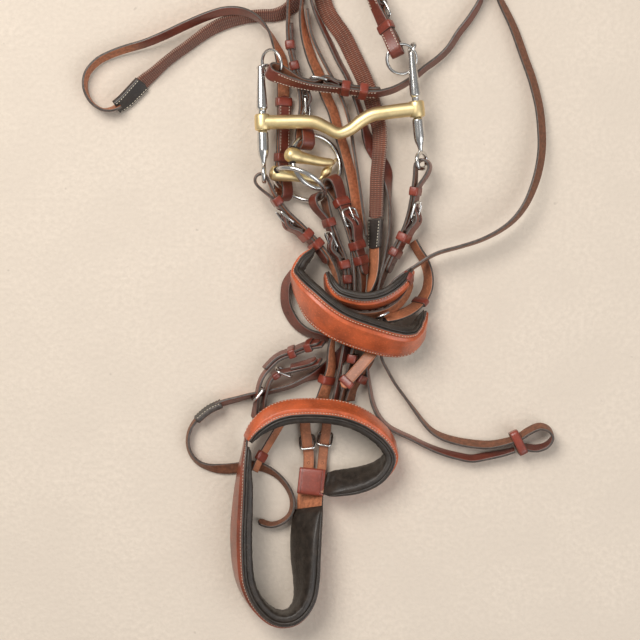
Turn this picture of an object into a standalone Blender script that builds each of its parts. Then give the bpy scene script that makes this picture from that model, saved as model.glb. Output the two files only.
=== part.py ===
"""Double bridle, put away as a bundle with the noseband wrapped round it.

The bundle lies on the floor at z = 0. The crown points to -Y and the two bits to +Y.
Routes and sizes are in millimetres and become metres when a mesh is made.
"""
import math

import bmesh
import bpy
import numpy as np
from mathutils import Matrix, Vector

MM = 0.001

# Leather sizes
STRAP_WIDTH = 12.5
STRAP_THICK = 2.6
BRADOON_REIN_WIDTH = 13.0
GRIP_WIDTH = 15.5
GRIP_THICK = 3.4
SLEEVE_WIDTH = 16.5
SLEEVE_THICK = 4.8
RUNNER_SLACK = 0.8
LAYER_GAP = STRAP_THICK + 0.6
FLOOR_GAP = 0.03
MIDDLE_Y = -10.7

# Padded bands
PANEL_THICK = 2.4
PANEL_CROWN = 1.5
PAD_GAP = 1.2
LINING_PROUD = 1.2

# Sampling of a route: longest step and largest turn between two stations
STEP_MAX = 17.0
TURN_MAX = math.radians(26.0)
BAND_STEP_MAX = 16.0
BAND_TURN_MAX = math.radians(12.0)

# Buckles: wire, chape and reach of the frame in front of its bar
WIRE_R = 1.2
CHAPE_THICK = 1.5
CHAPE_LENGTH = 12.0
FRAME_REACH = 15.0
TONGUE_R = 0.85
TONGUE_EYE_R = 2.35
SLOT_HALF = 1.55
BAR_LIFT = STRAP_THICK / 2 + TONGUE_EYE_R + TONGUE_R + 0.45
FOLD_R = WIRE_R + 0.3 + CHAPE_THICK
BILLET_OVER_BAR = BAR_LIFT + TONGUE_EYE_R + TONGUE_R + 0.3 + STRAP_THICK / 2
BILLET_OVER_CHAPE = STRAP_THICK / 2 + 2 * CHAPE_THICK + 0.4 + STRAP_THICK / 2
FRAME_FRONT_LIFT = STRAP_THICK + LAYER_GAP / 2 + WIRE_R + 0.55
SETTLE = 12.0

# Keepers
KEEPER_LENGTH = 8.0
KEEPER_THICK = 1.5

# Bits
BOSS_R = 6.6
BOSS_LENGTH = 15.0
NECK_R = 3.5
BORE_SLACK = 0.5
CURB_RING_R = 12.0
CURB_RING_RIGHT_R = 13.5
CURB_RING_WIRE = 1.5
EYELET_R = 4.6
EYELET_WIRE = 1.5
CHEEK_EYE_WIRE = 2.0
BRADOON_RING_A_R = 25.5
BRADOON_RING_B_R = 24.5
BRADOON_WIRE = 2.25
ARM_BORE_R = 3.1
LINK_HOLE_OFFSET = 6.8
LINK_HOLE_R = 2.6
LINK_THICK = 2.4
ARM_EYE_R = 4.2
ARM_EYE_WIRE = 1.3

# Routes: x, y, z and lean of a strap, each read towards the bit it holds
CURB_CHEEK_LEFT = [
    (3, -112, 6.5, 25), (6, -103, 8.5, 33), (9, -93, 11, 42), (12.5, -80, 12.5, 50), (13, -60, 14, 65),
    (16, -40, 14, 85), (18.5, -20, 14, 95), (19.2, -2, 14, 105), (13.5, 15.5, 14, 112),
    (2, 32.5, 14.5, 114), (-13.5, 49, 17, 114), (-27.5, 63.5, 21.5, 104), (-38.5, 79.5, 24.5, 96),
    (-45.2, 94.4, 26.5, 89)]
BRADOON_CHEEK_LEFT = [
    (17.5, -109, 8, 55), (18.5, -100, 10, 66), (20, -88, 12, 76), (22, -74, 14, 82), (24.3, -58, 14.4, 88),
    (26.5, -30, 14.2, 90), (29, -8, 13.6, 94), (28.3, 8, 13.6, 98), (24.5, 24, 14, 104),
    (18.5, 38, 15, 108), (13.4, 51, 16, 112), (9.9, 63, 16.2, 117), (7.1, 74.6, 16, 123)]
BRADOON_CHEEK_RIGHT = [
    (24, -109, 8, 55), (25.5, -100, 9.5, 62), (28, -88, 11, 68), (31, -72, 12.5, 76), (34, -56, 13.5, 84),
    (39, -30, 14, 80), (41.5, -8, 15.5, 72), (41.5, 6, 16, 63), (38.5, 21, 17, 54),
    (34, 36, 18, 47), (30, 50, 18, 43), (25.5, 63, 16.5, 41), (19.6, 75.5, 14, 40),
    (11.8, 87, 11.6, 40)]
CURB_CHEEK_RIGHT = [
    (30, -109, 8, 50), (33, -98, 11, 58), (41, -84, 13, 60), (50, -68, 11.5, 62),
    (53, -40, 14, 82), (56, -12, 14, 80), (60, 3, 14, 72), (66, 18, 14.5, 68),
    (75, 36, 15.5, 65), (81.5, 50, 17, 65), (85.5, 64, 18, 66), (88, 80, 19.5, 70),
    (89.6, 94, 21, 74), (90, 104.4, 21.3, 76)]
CURB_REIN_LEFT = [
    (187, -150.5, 9, 92), (194, -152, 9, 90), (202, -152.5, 9, 90), (211, -149, 10, 90),
    (215.5, -142, 11, 90), (212, -135, 12, 90), (204, -132.5, 12, 90), (194, -136.5, 10.5, 92),
    (184, -143, 9.5, 96), (172, -147, 8, 108), (158, -149.5, 7, 116), (142, -148.5, 7, 116),
    (128, -146, 7, 112), (115, -142, 7, 105), (106, -137, 7, 98), (98, -129, 7.5, 92),
    (89, -117, 8, 90), (80, -105, 9, 90), (72, -94, 10, 90), (65, -82, 11, 90),
    (59, -69, 13, 90), (60, -52, 14, 90), (62, -30, 14, 90), (63.5, -10, 15, 90),
    (69, -1, 17, 88), (78, 6.5, 19, 86), (90, 14, 21, 84), (102, 22, 22, 84),
    (112, 26.5, 22, 84), (130, 31.5, 22, 84), (150, 38, 22, 82), (169, 48, 21, 78),
    (181, 58, 20, 72), (190, 70, 19, 66), (197, 85, 18, 60), (202, 101, 17, 56),
    (205, 120, 16, 54), (205, 140, 14, 52), (203, 160, 12, 52), (197, 185, 10, 52),
    (190, 205, 9, 52), (180, 233, 8, 54), (168, 258, 8, 62), (163.5, 268, 8, 80),
    (158, 272, 8, 90), (153, 267, 8, 100), (149, 256, 8, 108), (140, 241, 8, 112),
    (130, 228, 8, 112), (120, 213, 8.5, 110), (110, 203.5, 9, 108), (100, 196, 11, 107),
    (88, 186, 14, 107), (76, 178, 17.5, 108), (66, 173.5, 21, 109), (52, 170.5, 24, 110),
    (35, 172, 26, 111), (20, 174, 26.5, 112), (5, 175.5, 27, 113), (-10, 177.5, 28.5, 117),
    (-25, 181, 32, 126), (-38.7, 185.3, 36.5, 137)]
CURB_REIN_RIGHT = [
    (181, -154, 9, 98), (170, -157, 8, 108), (155, -160, 7, 112), (142, -162, 7, 112),
    (130, -160, 7, 110), (115, -156, 7, 108), (100, -150, 7, 100), (87, -143.5, 6.4, 76),
    (75, -138, 3.4, 28), (66, -133, 1.6, 3), (58, -125, 1.5, 0), (51.5, -112, 1.5, 0),
    (48, -95, 1.5, 0), (46, -80, 1.6, 3), (45.5, -67, 5.2, 42), (46.5, -54, 11, 78), (48, -40, 13.5, 90),
    (49, -20, 13.5, 88), (52, -8, 12, 80), (60, 10, 9.5, 78), (64, 30, 8, 84), (66.5, 50, 7, 88),
    (66.5, 72, 6.8, 86), (65, 90, 6, 60), (62.5, 103, 3.2, 18), (57, 113, 1.7, 2),
    (51, 123, 1.7, 4), (46, 133, 5, 44), (42.5, 145, 7.2, 66), (39, 158, 7.2, 68),
    (34.5, 171, 7.2, 70), (27.5, 188, 7.2, 72), (20, 202, 7.2, 70), (12, 219, 7.5, 70),
    (4, 235, 8.5, 74), (-3, 250, 12, 84), (-6, 262, 16, 90), (-4, 275, 18, 90),
    (4, 286, 19, 90), (16, 291, 19, 90), (30, 289, 18.5, 90), (41, 281, 18, 74), (47, 268, 18.8, 58),
    (51.5, 254, 21.5, 52), (57.5, 240, 26, 45), (63.5, 226, 31, 28), (70.2, 210.5, 34, 10)]
BRADOON_REIN_RIGHT = [
    (-86, -111, 7, 70), (-73, -107.5, 4.6, 42), (-62, -104.5, 1.9, 8), (-50, -102, 1.4, 0), (-40, -100, 1.3, 0),
    (-25, -96, 1.3, 0), (-10, -89, 1.3, 0), (5, -82, 1.3, 0), (18, -72, 1.3, 0),
    (28, -61, 1.5, 3), (33, -49, 4.4, 36), (34.5, -38, 9.5, 72), (34.5, -28, 12.5, 88), (34.5, -10, 12.8, 90),
    (34.5, 8, 11.5, 84), (35, 26, 8, 50), (36, 46, 5.6, 30), (36.5, 66, 5.4, 30),
    (34.5, 82, 5.8, 36), (30.5, 100, 6.4, 44), (24, 124, 6.4, 48), (18, 143, 6.4, 48), (14.5, 156, 6.2, 46),
    (8, 171, 6.2, 44), (2, 189, 6.2, 44), (-5, 205, 6.8, 50), (-11, 225, 8, 58), (-14, 243, 11, 74),
    (-14, 258, 13, 86), (-14.5, 268, 14, 90), (-16.5, 275.5, 14, 90), (-20.3, 278.5, 14, 90),
    (-24, 275.5, 13.5, 91), (-25.5, 267, 13, 92), (-26, 258, 12.5, 94), (-26.3, 245, 11, 97),
    (-26.5, 228, 9.8, 97), (-25.5, 213, 9.4, 93), (-22, 197, 9.4, 90), (-18, 182, 10, 90),
    (-15.6, 168, 10.4, 92), (-14.8, 158, 9.8, 98), (-14.5, 148, 9.4, 117), (-14.3, 140, 10.2, 136),
    (-14.2, 133, 11.4, 147), (-14, 127, 12.2, 151)]
BRADOON_REIN_LEFT = [
    (-187, 157.5, 8, 78), (-197, 158, 8.4, 84), (-207, 165, 8.4, 86), (-212.5, 178, 8.4, 80),
    (-210.5, 191, 8.2, 74), (-201, 202, 8, 70), (-190, 208, 8, 68), (-176, 213, 9, 66),
    (-158, 218, 10.5, 64), (-140, 225, 12.5, 62), (-120, 234, 15, 62), (-100, 242, 18, 62),
    (-83, 246.5, 20, 62), (-68, 246, 20.5, 66), (-55, 240.5, 18, 76), (-45, 230.5, 13.5, 92),
    (-38, 217, 8.5, 116), (-33, 204, 5.2, 144), (-31, 190, 4.2, 160), (-31, 175, 4.6, 160),
    (-31.3, 155, 5.6, 153), (-31.8, 135, 6, 148), (-32.8, 115, 6.6, 143), (-34, 98, 6.2, 140),
    (-34.9, 81.8, 5.4, 140)]
REIN_GRIP = [
    (-158.5, 184, 6.5, 40), (-150, 191, 6.7, 42), (-140, 200, 6.9, 44), (-130, 208, 6.9, 44),
    (-120, 215, 6.9, 44), (-110, 222.5, 6.8, 42), (-100, 229.5, 6.4, 38), (-88, 237, 5.8, 32),
    (-76, 242.5, 5.3, 27), (-62, 246.5, 4.9, 23), (-50, 247.5, 4.2, 17), (-39, 248, 2.6, 5),
    (-28, 251, 1.7, 0), (-19, 259, 1.7, 0), (-14, 270, 1.7, 0), (-8, 277.5, 1.7, 0),
    (0, 276, 1.7, 0), (4.5, 267, 2.2, 2), (6, 258, 3, 7), (10.5, 246, 3.9, 12), (17, 236, 4.2, 14),
    (24, 226, 4.4, 15), (34, 206, 4.5, 16), (43, 187, 4.8, 18), (49, 171, 5.8, 24), (53.5, 155, 7.2, 30),
    (57, 140, 9.4, 36), (57.5, 126, 11.2, 42), (56.5, 112, 11.6, 44), (55, 95, 10, 44), (54.5, 78, 9, 44),
    (54, 58, 8.8, 46)]
REIN_SLEEVE_BIT = [(-184, 160, 8.8, 60), (-176, 166, 8.2, 50), (-168, 174, 7.6, 43), (-159.5, 183, 7.4, 40)]
REIN_SLEEVE_HAND = [(54, 57, 8.5, 46), (53.5, 43, 9, 52), (53, 30, 10, 58)]
REIN_HAND_PART = [(53, 29, 10, 58), (52.5, 16, 12, 72), (51, 3, 14, 88), (47.5, -10, 15, 95)]
REIN_SLEEVE_RIGHT = [(-87.5, -111.5, 8.4, 72), (-99, -117, 8.4, 72), (-111, -127, 8.4, 74)]
REIN_TAIL_RIGHT = [
    (-112, -128, 6.4, 76), (-117, -137, 6.2, 78), (-118.5, -147, 6.2, 78), (-116, -157, 6.2, 76),
    (-109, -165.5, 6, 70), (-99, -170, 5, 55), (-88, -171.5, 3.6, 28), (-75, -171, 2.4, 12),
    (-62, -168.5, 2.8, 18), (-48, -171, 4.6, 45), (-36, -178, 5.4, 62), (-27, -188.5, 5.6, 66),
    (-22.5, -200, 5.8, 70), (-24, -212, 5.8, 72), (-31, -219.5, 5.6, 72), (-42, -223, 5.4, 68),
    (-54, -219.5, 5, 60)]
HEADSTRAP = [
    (45.2, 42, 10.4, 90), (42.6, 60, 10.4, 90), (38.5, 90, 10, 90), (34, 120, 9, 90),
    (30, 145, 8.5, 90), (24, 165, 8.8, 90), (16.5, 182, 9, 90), (8.5, 197, 9.5, 90), (-.5, 215, 10, 90),
    (-6, 230, 10.5, 90), (-9, 250, 11, 90)]
NOSEBAND_STRAP_RIGHT = [
    (88, 37, 7.4, 88), (93, 28, 7.4, 90), (98, 20, 7.4, 88), (102, 7, 8, 84), (101.5, -5, 10, 80),
    (97.5, -14, 14, 78), (91, -21.5, 20, 78), (82, -27.5, 27, 79), (71, -31.5, 33, 80), (60, -33, 36, 80)]
NOSEBAND_STRAP_LEFT = [
    (-27.5, -1, 7.6, 82), (-29, -11, 7.6, 80), (-28, -22, 7.6, 78), (-23.5, -32, 7.6, 78), (-17.5, -40, 7.8, 82),
    (-9, -46, 8, 86), (2, -49.5, 8, 86)]
NOSEBAND_TAIL = [
    (50.5, -64.5, 21.3, 14), (45, -71, 22.3, 16), (38, -79, 22.8, 18), (30, -88, 22.8, 18), (23, -96, 22, 16)]
THROAT_STRAP_INNER = [
    (3, -73, 23.5, 80), (-12, -78, 15, 82), (-26, -81.5, 12.2, 84), (-36, -84, 12.2, 86), (-43, -90, 12, 88),
    (-46.5, -100, 11, 88), (-48.5, -110, 9.8, 86), (-49.3, -121, 6.2, 60)]
THROAT_STRAP_OUTER = [
    (6, -57, 24, 82), (-8, -60, 17.5, 82), (-22, -65.5, 12.6, 84), (-34, -70, 12.2, 86), (-43, -78, 12.3, 88),
    (-50, -87, 13.4, 88), (-53.5, -97, 14, 88), (-55, -108, 12.4, 88), (-56.5, -118, 8.6, 80), (-57, -126, 6.2, 68)]
CROWN_BRANCH = [(-57, -173, 15, 45), (-52.5, -163, 13, 42), (-45, -150, 11, 40), (-36, -135, 9, 40), (-29, -123, 8, 40)]
CROWN_STRAP_P = [
    (-11.5, -195, 5.6, 172), (-9.5, -184, 5.6, 174), (-8, -172, 5.3, 176), (-7.5, -160, 5.2, 177),
    (-9, -147, 5.3, 177), (-10.5, -136, 5.2, 177), (-11, -127, 5, 175)]
CROWN_STRAP_Q = [
    (0.5, -195, 7.0, 172), (2.4, -184, 6.0, 174), (4.3, -172, 5.2, 176), (5.5, -160, 5.1, 177),
    (7, -147, 5.3, 177), (8.5, -136, 5.2, 177), (9, -127, 5, 175)]

# Padded bands: x, y, z, lean, width and depth of the padding, the outer side on the right of travel
CROWN = [
    (-65, -150, 22, 82, 20, 2), (-67, -165, 24, 78, 23, 4), (-69.5, -185, 22.5, 74, 30, 7),
    (-71.5, -205, 20.3, 72, 34, 8), (-73, -230, 20.8, 72, 37, 8.5), (-72, -255, 21, 74, 38, 8.5),
    (-69, -273, 21, 78, 38, 8.5), (-62, -289, 20.9, 82, 38, 8.5), (-52, -301, 20.8, 86, 38, 8.5),
    (-42, -308.5, 20.6, 88, 38, 8.5), (-32, -311, 20.6, 90, 38, 8.5), (-21, -308.5, 20.6, 94, 38, 8.5),
    (-12, -300, 20.6, 100, 38, 8.5), (-7, -287, 20.2, 108, 38, 8.5), (-6, -270, 19.5, 115, 38, 8.5),
    (-7, -250, 18.7, 122, 38, 8), (-7, -230, 17, 128, 36, 7), (-6.5, -213, 14.2, 136, 32, 4),
    (-6.3, -206, 12.4, 142, 29, 2), (-6.2, -198, 9.4, 155, 26, 0), (-6, -190, 6, 170, 22, 0)]
BROWBAND = [
    (-12, -182, 13.4, 172, 17, 0), (-2, -183, 13.8, 160, 19, 0),
    (8, -185, 14.8, 146, 23, 2.2), (15, -186, 15.2, 137, 25.5, 4.4), (23, -186, 15.6, 130, 27, 6.5), (34, -185, 15.2, 125, 28, 7.5),
    (46, -182, 15.2, 121, 28, 7.5), (57, -177, 15.4, 113, 28, 7.5), (66, -169, 16.4, 102, 28, 7.5),
    (70.5, -160, 17.6, 92, 28, 7.5), (69, -150, 19.2, 82, 28, 7.5), (64, -141, 21.6, 74, 28, 7.5),
    (55, -132, 24.4, 68, 28, 7.5), (45, -125, 26.6, 64, 28, 7.5), (32, -119, 28, 61, 28, 7.5),
    (18, -115.5, 28.5, 60, 28, 7.5), (2, -114, 28.8, 60, 28, 7.5), (-14, -114, 29, 60, 28, 7.5),
    (-28, -115.5, 29, 60, 28, 7.5), (-40, -119.5, 29, 61, 28, 7), (-50, -126, 28.4, 63, 27, 5),
    (-58, -134, 27.5, 67, 25, 3), (-63.5, -143, 27, 72, 22, 2)]
NOSEBAND = [
    (-20.5, 8, 22, 88, 26, 2.5), (-18.5, -2, 26.5, 76, 30, 5), (-14, -11, 32, 64, 34, 7), (-7, -20, 37.5, 55, 37, 8),
    (2, -29, 41.5, 51, 38, 8), (15, -38.5, 43.5, 50, 38, 8), (28, -45, 44, 50, 38, 8), (42, -50, 44, 50, 38, 8),
    (55, -54, 43, 51, 38, 8), (67, -57, 40.5, 53, 38, 8), (78, -58, 36.5, 57, 37, 8),
    (87.5, -55.5, 31, 63, 34, 7), (94, -49, 25, 73, 30, 5), (97, -40, 19, 84, 26, 2.5)]
CHIN_PAD = [
    (8, 4, 30, 75, 22, 2), (11, -6, 34, 66, 26, 4), (18, -14.5, 37, 58, 28, 5.5), (29, -19, 38, 55, 29, 6),
    (41, -21, 38, 54, 29, 6), (53, -20, 38, 55, 29, 6), (64, -16, 37.5, 58, 28, 6),
    (74, -9.5, 36, 62, 27, 5.5), (82, -1, 33.5, 68, 24, 4), (86.5, 8, 31, 76, 20, 2)]

# Bits: x, y, z and radius along each rod
MOUTHPIECE = [
    (-50, 144.5, 26, 5.3), (-30, 144.8, 26, 5.5), (-10, 145, 26, 5.5), (-1, 144, 26, 5.3), (9, 139.5, 26, 4.8),
    (20, 134.5, 26, 4.6), (30, 138, 26, 4.7), (40, 145.5, 26.2, 5.1), (50, 151, 26.5, 5.4),
    (64, 153.5, 26.8, 5.5), (80, 155.5, 27, 5.5), (90.6, 156.5, 27, 5.3)]
LEFT_CHEEK_AXIS = ((-49.5, 144.5, 26.0), (-0.03, 1.0, -0.03))
RIGHT_CHEEK_AXIS = ((90.6, 156.5, 27.0), (-0.1, 1.0, 0.08))
CHEEK_PROFILE = [
    (-40.3, 2.1), (-36, 2.3), (-33.5, 3.0), (-30, 4.4), (-26, 5.2), (-9, 5.1), (-8.4, 3.5),
    (11.4, 3.5), (12, 5.1), (18, 4.9), (30, 4.2), (44, 3.3), (51, 2.9), (52, 2.2)]
CHEEK_EYE = [
    (-7.0, -3.8), (-5.8, -8.0), (-1.5, -10.2), (3.0, -9.6), (6.4, -5.6), (7.6, 0.0),
    (6.4, 5.6), (3.0, 9.6), (-1.5, 10.2), (-5.8, 8.0), (-7.0, 3.8)]
CHEEK_EYE_AT = -47.0
RIGHT_EYE_TILT = math.radians(27.0)
ARM_LEFT = [
    (-28.8, 115.9, 32.6, 2.6), (-27.4, 115.5, 32.2, 4.8), (-24.6, 114.8, 31.5, 6.2), (-19.7, 113.7, 30.1, 6.3),
    (-14, 112.3, 27.8, 5.2), (-7, 111, 24.8, 4.4), (1, 109.6, 21, 4.0), (8, 108.9, 17.6, 3.7),
    (13, 109, 15.1, 3.2), (15.3, 109.1, 14.1, 2.2)]
ARM_RIGHT = [
    (-42.2, 98.5, 30.9, 2.6), (-41.6, 98.4, 30.7, 4.6), (-39.8, 98.2, 30.3, 6.0), (-36, 97.7, 29.2, 6.2),
    (-28.5, 96.6, 26.6, 5.2), (-19, 95.4, 22.8, 4.2), (-9, 93.9, 18.8, 3.8), (-4, 92.7, 17.2, 3.2),
    (-.8, 91.5, 15.4, 2.6), (1, 91.1, 14.1, 2.1)]
LINK_CENTRE = (8.5, 100.5, 9.8)
LINK_DIRECTION = (0.62, 0.785, 0.0)
RING_A = ((-0.7, 109.3, 18.6), (-0.45, 0.89, 0.0), (0.725, 0.367, -0.58))
RING_B = ((-16.0, 88.0, 29.0), (-0.917, 0.4, 0.0), (0.175, 0.402, 0.899))
RING_A_AT_ARM = math.radians(-56.0)
RING_B_AT_ARM = math.radians(3.0)
CURB_RING_LEFT = ((-41.0, 198.0, 28.4), (-0.28, 0.96, 0.0), (0.68, 0.20, 0.707))
CURB_RING_RIGHT = ((77.0, 202.0, 26.4), (0.993, 0.0, -0.12), (0.0, 0.988, 0.155))


def material(name, rgb, roughness, metallic=0.0):
    """A Principled material of one colour."""
    made = bpy.data.materials.new(name)
    made.use_nodes = True
    shader = made.node_tree.nodes["Principled BSDF"]
    shader.inputs["Base Color"].default_value = (*rgb, 1.0)
    shader.inputs["Roughness"].default_value = roughness
    shader.inputs["Metallic"].default_value = metallic
    return made


def new_object(name, mesh, finish, collection="bridle"):
    """Link a mesh as a named object in one of the two collections."""
    if finish:
        mesh.materials.append(finish)
    made = bpy.data.objects.new(name, mesh)
    bpy.data.collections[collection].objects.link(made)
    if collection == "cutters":
        made.hide_render = True
        made.display_type = "WIRE"
    return made


def mesh_of(name, vertices, faces):
    """A mesh from points in millimetres."""
    mesh = bpy.data.meshes.new(name)
    mesh.from_pydata([tuple(v * MM for v in point) for point in vertices], [], faces)
    return mesh


def face_outwards(mesh):
    """Turn the faces of a closed mesh outwards."""
    form = bmesh.new()
    form.from_mesh(mesh)
    bmesh.ops.recalc_face_normals(form, faces=form.faces)
    form.to_mesh(mesh)
    form.free()


def boolean(target, other, operation):
    """An exact Boolean modifier on target."""
    made = target.modifiers.new(f"{operation.lower()} {other.name}", "BOOLEAN")
    made.operation = operation
    made.object = other
    made.solver = "EXACT"


def unit(vector):
    """The vector at length one."""
    return vector / max(np.linalg.norm(vector), 1e-12)


def curve_through(route):
    """Points 1 mm apart on a centripetal spline through a route of any columns."""
    points = np.array(route, dtype=float)
    ends = [2 * points[0] - points[1], *points, 2 * points[-1] - points[-2]]
    made = []
    for a, b, c, d in zip(ends, ends[1:], ends[2:], ends[3:]):
        t1 = math.sqrt(max(np.linalg.norm(b[:3] - a[:3]), 1e-6))
        t2 = t1 + math.sqrt(max(np.linalg.norm(c[:3] - b[:3]), 1e-6))
        t3 = t2 + math.sqrt(max(np.linalg.norm(d[:3] - c[:3]), 1e-6))
        count = max(2, int(np.linalg.norm(c[:3] - b[:3])))
        for t in np.linspace(t1, t2, count, endpoint=False):
            ab = a * (t1 - t) / t1 + b * t / t1
            bc = b * (t2 - t) / (t2 - t1) + c * (t - t1) / (t2 - t1)
            cd = c * (t3 - t) / (t3 - t2) + d * (t - t2) / (t3 - t2)
            abc = ab * (t2 - t) / t2 + bc * t / t2
            bcd = bc * (t3 - t) / (t3 - t1) + cd * (t - t1) / (t3 - t1)
            made.append(abc * (t2 - t) / (t2 - t1) + bcd * (t - t1) / (t2 - t1))
    made.append(points[-1])
    return np.array(made)


def tangents_of(points):
    """Unit directions along a row of points."""
    steps = np.gradient(points, axis=0)
    return steps / np.maximum(np.linalg.norm(steps, axis=1), 1e-9)[:, None]


def strap_frame(route, width=0.0, thick=0.0):
    """Centre points and width directions of a strap that leans by the route's fourth column.

    A lean of 0 lies flat, and at 90 the strap stands on its edge. A strap of the width and thickness
    given is kept from sinking into the floor.
    """
    dense = curve_through(route)
    points = dense[:, :3]
    lean = np.radians(dense[:, 3])
    lowest = width / 2 * np.abs(np.sin(lean)) + thick / 2 * np.abs(np.cos(lean)) + FLOOR_GAP
    points[:, 2] = np.maximum(points[:, 2], lowest)
    tangents = tangents_of(points)
    widths = []
    left = None
    for tangent, angle in zip(tangents, lean):
        side = np.cross((0.0, 0.0, 1.0), tangent)
        if np.linalg.norm(side) < 0.12 and left is not None:
            side = left
        side = unit(side)
        if left is not None and side @ left < 0:
            side = -side
        left = side
        up = np.cross(tangent, side)
        if up[2] < 0:
            up = -up
        widths.append(math.cos(angle) * side + math.sin(angle) * up)
    return points, np.array(widths)


def stations(points, widths, step_max, turn_max):
    """Indices of the points that the length and the bends call for."""
    tangents = tangents_of(points)
    keep = [0]
    length = 0.0
    turned = 0.0
    for i in range(1, len(points) - 1):
        length += np.linalg.norm(points[i] - points[i - 1])
        turned += math.acos(np.clip(tangents[i] @ tangents[i - 1], -1, 1))
        turned += 0.5 * math.acos(np.clip(widths[i] @ widths[i - 1], -1, 1))
        if length > step_max or turned > turn_max:
            keep.append(i)
            length = 0.0
            turned = 0.0
    if length < 3.0 and len(keep) > 1:
        keep.pop()
    return [*keep, len(points) - 1]


def ribbon(name, points, widths, finish, width=STRAP_WIDTH, thick=STRAP_THICK, tip=0.0, collection="bridle"):
    """A strap: two edges carried along its stations and thickened."""
    half = np.full(len(points), width / 2)
    half[-1] *= 1 - tip
    verts = np.concatenate([points + widths * half[:, None], points - widths * half[:, None]])
    count = len(points)
    faces = [(i, i + 1, count + i + 1, count + i) for i in range(count - 1)]
    made = new_object(name, mesh_of(name, verts, faces), finish, collection)
    solid = made.modifiers.new("thickness", "SOLIDIFY")
    solid.thickness = thick * MM
    solid.offset = 0.0
    return made


def plain_strap(name, route, finish, width=STRAP_WIDTH, thick=STRAP_THICK, tip=0.0, collection="bridle"):
    """A single strap along a route."""
    points, widths = strap_frame(route, width, thick)
    chosen = stations(points, widths, STEP_MAX, TURN_MAX)
    return ribbon(name, points[chosen], widths[chosen], finish, width, thick, tip, collection)


def wire(name, points, radius, finish, closed=False, sides=2, radii=None):
    """A bent wire: a poly curve with a round bevel and filled ends."""
    data = bpy.data.curves.new(name, "CURVE")
    data.dimensions = "3D"
    data.bevel_depth = radius * MM
    data.bevel_resolution = sides
    data.use_fill_caps = not closed
    spline = data.splines.new("POLY")
    spline.points.add(len(points) - 1)
    for i, point in enumerate(points):
        spline.points[i].co = (*(float(v) * MM for v in point), 1.0)
        if radii is not None:
            spline.points[i].radius = float(radii[i])
    spline.use_cyclic_u = closed
    if finish:
        data.materials.append(finish)
    made = bpy.data.objects.new(name, data)
    bpy.data.collections["bridle"].objects.link(made)
    return made


def solid_wire(curve, collection="bridle"):
    """The same wire as a welded mesh, for cutting or joining."""
    graph = bpy.context.evaluated_depsgraph_get()
    mesh = bpy.data.meshes.new_from_object(curve.evaluated_get(graph))
    form = bmesh.new()
    form.from_mesh(mesh)
    bmesh.ops.remove_doubles(form, verts=form.verts, dist=1e-5)
    bmesh.ops.recalc_face_normals(form, faces=form.faces)
    form.to_mesh(mesh)
    form.free()
    name = curve.name
    bpy.data.objects.remove(curve)
    return new_object(name, mesh, None, collection)


def prism(name, outline, depth, place, finish, collection="cutters"):
    """An outline in the (x, z) plane, carried along y by depth, centred, then placed."""
    form = bmesh.new()
    ring = [form.verts.new((x * MM, -depth / 2 * MM, z * MM)) for x, z in outline]
    face = form.faces.new(ring)
    pushed = bmesh.ops.extrude_face_region(form, geom=[face])
    moved = [part for part in pushed["geom"] if isinstance(part, bmesh.types.BMVert)]
    bmesh.ops.translate(form, verts=moved, vec=(0, depth * MM, 0))
    bmesh.ops.transform(form, matrix=place, verts=form.verts)
    bmesh.ops.recalc_face_normals(form, faces=form.faces)
    mesh = bpy.data.meshes.new(name)
    form.to_mesh(mesh)
    form.free()
    return new_object(name, mesh, finish, collection)


def box_outline(x0, x1, z0, z1):
    """A rectangle in the (x, z) plane."""
    return [(x0, z0), (x1, z0), (x1, z1), (x0, z1)]


def arc(centre, radius, start, stop, count):
    """Points on an arc of the (x, z) plane, angles in degrees."""
    angles = np.radians(np.linspace(start, stop, count))
    return [(centre[0] + radius * math.cos(a), centre[1] + radius * math.sin(a)) for a in angles]


def place_at(origin, along, across, out):
    """Matrix whose x, y and z are a strap's direction, width and outward side."""
    columns = np.column_stack([along, across, out])
    return Matrix([[*columns[r], origin[r] * MM] for r in range(3)] + [[0, 0, 0, 1]])


def place_points(place, points):
    """Local millimetre points carried to the shared frame."""
    return [tuple(place @ Vector(tuple(v * MM for v in point)) / MM) for point in points]


def drum(name, centre, axis, radius, length, sides=14):
    """A round bar about an axis, for cutting or joining."""
    axis = unit(np.array(axis, dtype=float))
    along = unit(np.cross(axis, (0.0, 0.0, 1.0)))
    if abs(axis[2]) > 0.9:
        along = unit(np.cross(axis, (1.0, 0.0, 0.0)))
    place = place_at(centre, along, axis, np.cross(along, axis))
    outline = arc((0, 0), radius, 0, 360 - 360 / sides, sides)
    return prism(name, outline, length, place, None)


def keeper_loop(name, place, half, low, high, length, finish, collection):
    """A leather band bent to a rectangle round whatever passes through it."""
    cut = 1.3
    outline = [(half - cut, low), (half, low + cut), (half, high - cut), (half - cut, high)]
    outline += [(-half + cut, high), (-half, high - cut), (-half, low + cut), (-half + cut, low)]
    count = len(outline)
    local = [(u, w, n) for u in (-length / 2, length / 2) for w, n in outline]
    faces = [(i, (i + 1) % count, count + (i + 1) % count, count + i) for i in range(count)]
    made = new_object(name, mesh_of(name, place_points(place, local), faces), finish, collection)
    solid = made.modifiers.new("thickness", "SOLIDIFY")
    solid.thickness = KEEPER_THICK * MM
    solid.offset = 0.0
    return made


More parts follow.
